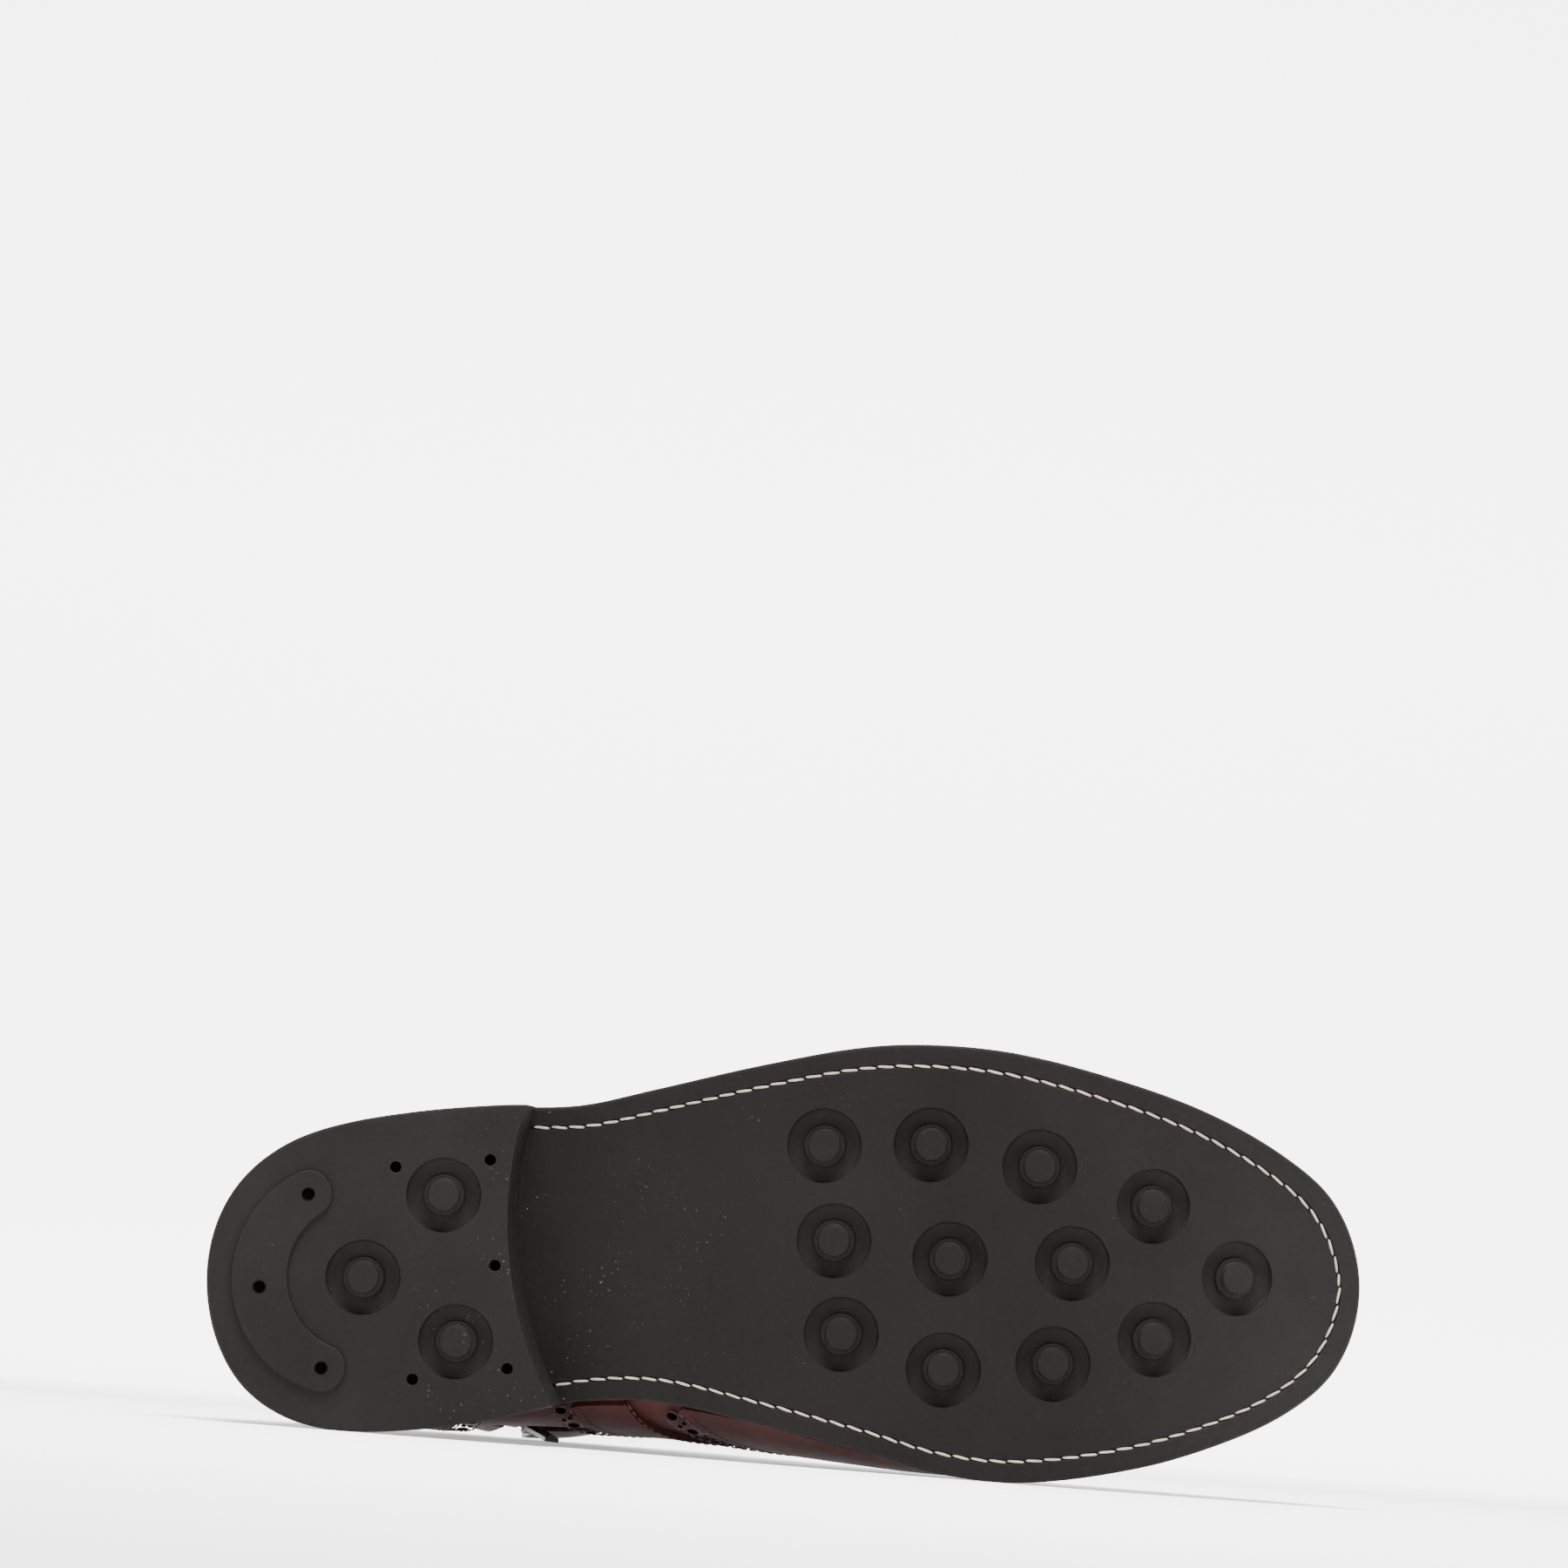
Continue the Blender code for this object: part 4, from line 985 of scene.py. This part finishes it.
def make_panels():
    path = wing_path()
    share = np.linspace(0, 1, 40)[:, None]
    levels = LOWEST_PANEL + (path[:, 0] - LOWEST_PANEL) * share
    arounds = np.broadcast_to(path[:, 1], levels.shape)
    wing = shell([(levels, arounds)], PANEL_OUT, PANEL_OUT)
    finish_mesh("wing_cap_fine", *wing, OXBLOOD_PANEL, stands_for=("wing_cap",))
    rows = facing_rows(200)
    inner = rows_to_grid(rows, 26)
    outer = rows_to_grid(np.stack([rows[:, 2], -rows[:, 3], rows[:, 0], -rows[:, 1]], 1), 26)
    for name, grid in (("facing_medial", inner), ("facing_lateral", outer)):
        finish_mesh(name + "_fine", *shell([grid], PANEL_OUT, PANEL_OUT), OXBLOOD_PANEL,
                    stands_for=(name,))
    rows = []
    for level in spread(LOWEST_PANEL, COUNTER_TOP, 60):
        edge = ring_share(COUNTER_FRONT, level)
        rows.append((level, -edge, level, edge))
    grid = rows_to_grid(rows, 100)
    finish_mesh("counter_fine", *shell([grid], PANEL_OUT, PANEL_OUT), OXBLOOD_PANEL,
                stands_for=("counter",))
    by_facing, by_slot = {}, {}
    levels = spread(BAND_FOOT, BAND_TOP, 14)
    for level in levels:
        by_facing[level] = throat_phase(level, THROAT_GAP + FACING_WIDTH) - 2 * FIT / WIDTH
        by_slot[level] = [phase_at_x(level, zip_x(level) + side * (ZIP_HALF_SLOT + FIT))
                          for side in (-1, 1)]
    long = [(level, -by_facing[level], level, by_slot[level][0]) for level in levels]
    short = [(level, by_slot[level][1], level, by_facing[level]) for level in levels]
    for name, rows, columns in (("collar_band", long, 180), ("collar_band_medial", short, 60)):
        made = shell([rows_to_grid(rows, columns)], PANEL_OUT, PANEL_OUT)
        finish_mesh(name + "_fine", *made, DARK, stands_for=(name,))
    rows = []
    for level in spread(TONGUE_FOOT, TONGUE_TOP, 50):
        edge = throat_phase(level, 3.2 * THROAT_GAP)
        rows.append((level, edge, level, 2 - edge))
    made = shell([rows_to_grid(rows, 60)], TONGUE_OUT, TONGUE_THICKNESS)
    finish_mesh("tongue_fine", *made, DARK, stands_for=("tongue",))


# Brogue lines

def paced(path, pitch):
    """The same path of (level, around) at even distances over the leather."""
    place = skin(path[:, 0], path[:, 1], PANEL_OUT)
    steps = np.linalg.norm(np.diff(place, axis=0), axis=1)
    walked = np.concatenate([[0.0], np.cumsum(steps)])
    at = np.linspace(0, walked[-1], max(int(walked[-1] / pitch), 1) + 1)
    return np.stack([np.interp(at, walked, path[:, i]) for i in range(2)], 1)


def normals_of(path):
    raised = skin(path[:, 0], path[:, 1], 0.001) - skin(path[:, 0], path[:, 1], 0.0)
    return raised / np.linalg.norm(raised, axis=1, keepdims=True)


def sideways(path, distance):
    """The path moved over the leather, to the left of its direction seen from outside."""
    level, around = path.T
    place = skin(level, around, 0.0)
    ahead = np.gradient(place, axis=0)
    ahead /= np.linalg.norm(ahead, axis=1, keepdims=True)
    move = np.cross(normals_of(path), ahead) * np.reshape(distance, (-1, 1))
    rise = (skin(level + 0.02, around, 0.0) - skin(level - 0.02, around, 0.0)) / 0.04
    turn = (skin(level, around + 0.002, 0.0) - skin(level, around - 0.002, 0.0)) / 0.004
    a, b, c = (rise * rise).sum(1), (rise * turn).sum(1), (turn * turn).sum(1)
    p, q = (rise * move).sum(1), (turn * move).sum(1)
    spread_of = np.maximum(a * c - b * b, 1e-12)
    return path + np.stack([(p * c - q * b) / spread_of, (q * a - p * b) / spread_of], 1)


TOOTH_PITCH = 0.0009
TOOTH = 0.0008
EDGE_BAND = 0.0014
STITCH_INSET = 0.0021
HOLE_INSET = 0.0046
SECOND_STITCH_INSET = 0.0071
LARGE_HOLE = 0.00145
SMALL_HOLE = 0.0006
PAIR_HALF = 0.0010


def pinked_edge(path, into):
    """A strip whose outer edge is cut in small teeth; into is +1 or -1 for the panel's side."""
    knots = paced(path, TOOTH_PITCH)
    teeth = np.where(np.arange(len(knots)) % 2 == 0, -TOOTH, 0.0) * into
    outer, inner = sideways(knots, teeth), sideways(knots, EDGE_BAND * into)
    pair = (inner, outer) if into > 0 else (outer, inner)
    levels = np.stack([side[:, 0] for side in pair])
    arounds = np.stack([side[:, 1] for side in pair])
    return shell([(levels, arounds)], EDGE_OUT, PANEL_OUT)


def stitch_runs(path, pitch=0.0026, share=0.74):
    knots = paced(path, pitch)
    places, normals = skin(knots[:, 0], knots[:, 1], EDGE_OUT), normals_of(knots)
    runs = []
    for i in range(len(knots) - 1):
        a, b = Vector(places[i]), Vector(places[i + 1])
        runs.append((a.lerp(b, (1 - share) / 2), a.lerp(b, (1 + share) / 2), Vector(normals[i])))
    return runs


HOLE_BOWL = ((0.0, -0.00005), (0.72, 0.00003), (1.0, 0.00009), (1.0, -0.0002), (0.0, -0.0002))
HOLE_RIM = ((0.98, 0.00002), (1.03, 0.00017), (1.16, 0.00018), (1.26, 0.00002))


def disc_at(place, normal, radius, profile, sides):
    turn = Vector(normal).to_track_quat("Z", "Y").to_matrix().to_4x4()
    spot = Matrix.Translation(Vector(place)) @ turn
    return lathe([(r * radius, h) for r, h in profile], sides, spot)


def brogue_holes(path, pitch=0.0074):
    """One large hole and then a pair of small ones, over and over."""
    large = paced(path, pitch)
    between = (large[:-1] + large[1:]) / 2
    parts, rims = [], []
    rows = ((large, LARGE_HOLE, 20), (sideways(between, PAIR_HALF), SMALL_HOLE, 12),
            (sideways(between, -PAIR_HALF), SMALL_HOLE, 12))
    for row, radius, sides in rows:
        places = skin(row[:, 0], row[:, 1], PANEL_OUT)
        for place, normal in zip(places, normals_of(row)):
            # Each hole is a dark disc of painted shade inside a leather rim
            parts.append(disc_at(place, normal, radius, HOLE_BOWL, sides))
            rims.append(disc_at(place, normal, radius, HOLE_RIM, sides))
    return parts, rims


def facing_edge(side, which):
    rows = facing_rows(300)
    path = rows[:, 0:2] if which == "back" else rows[:, 2:4]
    return np.stack([path[:, 0], side * path[:, 1]], 1)


def counter_edge():
    levels = np.linspace(LOWEST_PANEL, COUNTER_TOP - 0.04, 60)
    phases = np.array([ring_share(COUNTER_FRONT, level) for level in levels])
    top = np.linspace(phases[-1], -phases[-1], 60)[1:-1]
    across = np.stack([np.full(len(top), levels[-1]), top], 1)
    return np.concatenate([np.stack([levels, phases], 1), across,
                           np.stack([levels[::-1], -phases[::-1]], 1)])


def band_edge(low, high):
    arounds = np.linspace(low, high, 200)
    return np.stack([np.full(200, BAND_FOOT + 0.02), arounds], 1)


def make_brogue():
    lines = [(wing_path(), -1, True), (counter_edge(), 1, True)]
    for side in (1, -1):
        lines.append((facing_edge(side, "back"), -side, True))
        lines.append((facing_edge(side, "front")[:190], side, False))
    by_facing = throat_phase(BAND_FOOT, THROAT_GAP + FACING_WIDTH)
    slot = [phase_at_x(BAND_FOOT, zip_x(BAND_FOOT) + side * 2 * ZIP_HALF_SLOT) for side in (-1, 1)]
    lines.append((band_edge(-by_facing, slot[0]), 1, False))
    lines.append((band_edge(slot[1], by_facing), 1, False))
    pinks, holes, rims, runs = [], [], [], []
    for path, into, punched in lines:
        pinks.append(pinked_edge(path, into))
        runs += stitch_runs(sideways(path, STITCH_INSET * into))
        if punched:
            some, these = brogue_holes(sideways(path, HOLE_INSET * into))
            holes += some
            rims += these
            runs += stitch_runs(sideways(path, SECOND_STITCH_INSET * into))
    finish_mesh("pinked_edges", *joined(pinks), OXBLOOD_PANEL)
    finish_mesh("brogue_holes", *joined(holes), PAINTED_HOLE_SHADE)
    finish_mesh("brogue_hole_rims", *joined(rims), OXBLOOD_PANEL)
    capsules("panel_stitches", runs, 0.00028, DARK_THREAD, 0.9, 6)


# Zip, eyelets and lace

def make_zip_teeth():
    parts = []
    for side in (-1, 1):
        path = [Vector(skin_at(level, phase_at_x(level, zip_x(level)), -0.0017))
                for level in spread(ZIP_FOOT, ZIP_TOP, 200)]
        knots = even_steps(path, 0.0011)
        for i, (a, b) in enumerate(zip(knots[:-1], knots[1:])):
            if (i % 2 == 0) != (side > 0):
                continue
            level = ZIP_FOOT + (ZIP_TOP - ZIP_FOOT) * i / (len(knots) - 1)
            around = phase_at_x(level, zip_x(level))
            normal = (skin_at(level, around, 0.001) - skin_at(level, around, 0.0)).normalized()
            along = (b - a).normalized()
            across = normal.cross(along) * side
            low, high = -0.0003, 0.0024
            corners = []
            for up in (-0.0009, 0.0009):
                for reach, half in ((low, 0.0005), (high, 0.00035)):
                    for way in (-1, 1):
                        corners.append(a + across * reach + along * half * way + normal * up)
            faces = [(0, 1, 3, 2), (4, 6, 7, 5), (0, 4, 5, 1), (2, 3, 7, 6), (0, 2, 6, 4),
                     (1, 5, 7, 3)]
            parts.append((corners, faces if side > 0 else [face[::-1] for face in faces]))
    finish_mesh("zip_teeth_fine", *joined(parts), GUNMETAL, stands_for=("zip_teeth",))


EYELET = (
    (0.0016, -0.0004), (0.0016, 0.0002), (0.0018, 0.0005), (0.0022, 0.0006), (0.0027, 0.0004),
    (0.0030, 0.0), (0.0030, -0.0002),
)
EYELET_NAMES = [f"eyelet_{side}_{i + 1}" for side in ("medial", "lateral") for i in range(6)]


def make_eyelets():
    parts = []
    for side in (1, -1):
        for level in EYELET_LEVELS:
            around = side * throat_phase(level, THROAT_GAP + EYELET_INSET)
            place = skin_at(level, around, EYELET_OUT)
            normal = place - skin_at(level, around, 0.0)
            parts.append(disc_at(place, normal, 1.0, EYELET, 32))
    finish_mesh("eyelets_fine", *joined(parts), BRASS, stands_for=EYELET_NAMES)


def tube(path, radius, sides=12):
    """A round cord through the path's points, closed at both ends."""
    points = []
    side = Vector((0, 0, 1)).cross(path[1] - path[0]).normalized()
    for i, place in enumerate(path):
        ahead = (path[min(i + 1, len(path) - 1)] - path[max(i - 1, 0)]).normalized()
        side = (side - ahead * side.dot(ahead)).normalized()
        up = ahead.cross(side)
        for j in range(sides):
            angle = 2 * math.pi * j / sides
            points.append(place + (side * math.cos(angle) + up * math.sin(angle)) * radius)
    faces = [face[::-1] for face in grid_faces(len(path), sides, True)]
    last = (len(path) - 1) * sides
    return points, faces + [list(range(sides))[::-1], list(range(last, last + sides))]


def make_lace():
    parts = []
    for level in EYELET_LEVELS:
        phase = throat_phase(level, THROAT_GAP + EYELET_INSET)
        rise = (0.0004, 0.0016, 0.0028, 0.0038, 0.0046)
        path = [skin_at(level, phase, out) for out in rise]
        for share in spread(0.0, 1.0, 20)[1:-1]:
            path.append(skin_at(level, phase + (2 - 2 * phase) * share, LACE_OUT))
        path += [skin_at(level, -phase, out) for out in rise[::-1]]
        smooth = path[:1]
        for a, b, c in zip(path, path[1:], path[2:]):
            smooth.append((a + b * 2 + c) / 4)
        parts.append(tube(smooth + path[-1:], LACE_RADIUS))
    names = [f"lace_bar_{i + 1}" for i in range(6)]
    finish_mesh("lace_fine", *joined(parts), CORD, stands_for=names)


def finish_solids():
    """The solids that show as they are get their procedural finish."""
    looks = {"insole": LINING, "zip_tape": TAPE, "zip_slider": GUNMETAL, "zip_pull": GUNMETAL}
    for made in bpy.data.objects:
        finish = looks.get(made.name.split(".")[0])
        if finish and made.type == "MESH":
            made.data.materials.clear()
            made.data.materials.append(finish)


make_upper()
make_panels()
make_brogue()
make_zip_teeth()
make_eyelets()
make_lace()
finish_solids()


# Stage, light and camera

def make_stage():
    points, faces = [], []
    section = [(-4.0, 0.0), (1.2, 0.0), (1.5, 0.03), (1.75, 0.12), (1.93, 0.30), (2.0, 0.55),
               (2.0, 3.5)]
    for y, z in section:
        points += [(-4.0, y, z), (4.0, y, z)]
    faces = grid_faces(len(section), 2)
    mesh = bpy.data.meshes.new("studio_floor")
    mesh.from_pydata(points, [], faces)
    mesh.shade_smooth()
    floor = bpy.data.objects.new("studio_floor", mesh)
    bpy.context.scene.collection.objects.link(floor)
    mesh.materials.append(plain_white())


def plain_white():
    made = bpy.data.materials.new("studio_white")
    made.use_nodes = True
    shader = made.node_tree.nodes["Principled BSDF"]
    shader.inputs["Base Color"].default_value = (0.86, 0.86, 0.86, 1)
    tree = made.node_tree
    split = tree.nodes.new("ShaderNodeSeparateXYZ")
    wire(tree, coordinates(tree), split.inputs[0])
    glow = tree.nodes.new("ShaderNodeMapRange")
    glow.inputs["From Min"].default_value = 0.45
    glow.inputs["From Max"].default_value = 1.4
    wire(tree, split.outputs["Y"], glow.inputs["Value"])
    tone = ramp(tree, glow.outputs["Result"], [(0.0, (0.12,) * 3), (1.0, (1.0,) * 3)])
    wire(tree, tone, shader.inputs["Emission Color"])
    shader.inputs["Emission Strength"].default_value = 4.0
    shader.inputs["Roughness"].default_value = 0.9
    shader.inputs["Specular IOR Level"].default_value = 0.1
    return made


def area_light(name, place, target, size, power, colour=(1, 1, 1)):
    data = bpy.data.lights.new(name, "AREA")
    data.shape = "RECTANGLE"
    data.size, data.size_y = size
    data.energy = power
    data.color = colour
    light = bpy.data.objects.new(name, data)
    light.location = place
    aim = Vector(target) - Vector(place)
    light.rotation_euler = aim.to_track_quat("-Z", "Y").to_euler()
    bpy.context.scene.collection.objects.link(light)


def make_light():
    world = bpy.data.worlds.new("studio")
    world.use_nodes = True
    sky = world.node_tree.nodes["Background"]
    sky.inputs["Color"].default_value = (1.0, 1.0, 1.0, 1)
    sky.inputs["Strength"].default_value = 0.26
    bpy.context.scene.world = world
    middle = (0.0, -0.05, 0.05)
    area_light("overhead", (0.0, -0.45, 1.25), middle, (0.9, 0.4), 85)
    area_light("left", (-1.1, -0.9, 0.45), middle, (0.8, 0.8), 10)
    area_light("right", (1.1, -0.9, 0.45), middle, (0.8, 0.8), 9)


def make_camera():
    """Square on to the sole, tipped up so that the boot sits low in the frame."""
    data = bpy.data.cameras.new("camera")
    data.sensor_width = 36
    data.sensor_fit = "HORIZONTAL"
    distance = 1.4
    data.lens = CAMERA_SCALE * distance * 1000
    data.clip_end = 20
    camera = bpy.data.objects.new("camera", data)
    bpy.context.scene.collection.objects.link(camera)
    tip = math.radians(CAMERA_TIP)
    right = Vector((1, 0, 0))
    up = Vector((0, -math.cos(tip), -math.sin(tip)))
    back = right.cross(up)
    turn = Matrix((right, up, back)).transposed().to_4x4()
    eye = Matrix.Translation((CAMERA_X, CAMERA_Y, -distance))
    camera.matrix_world = LAID @ eye @ turn
    bpy.context.scene.camera = camera


CAMERA_SCALE = 0.08716
CAMERA_TIP = 5.15
CAMERA_X = 0.1517
CAMERA_Y = -0.0041

make_stage()
make_light()
make_camera()
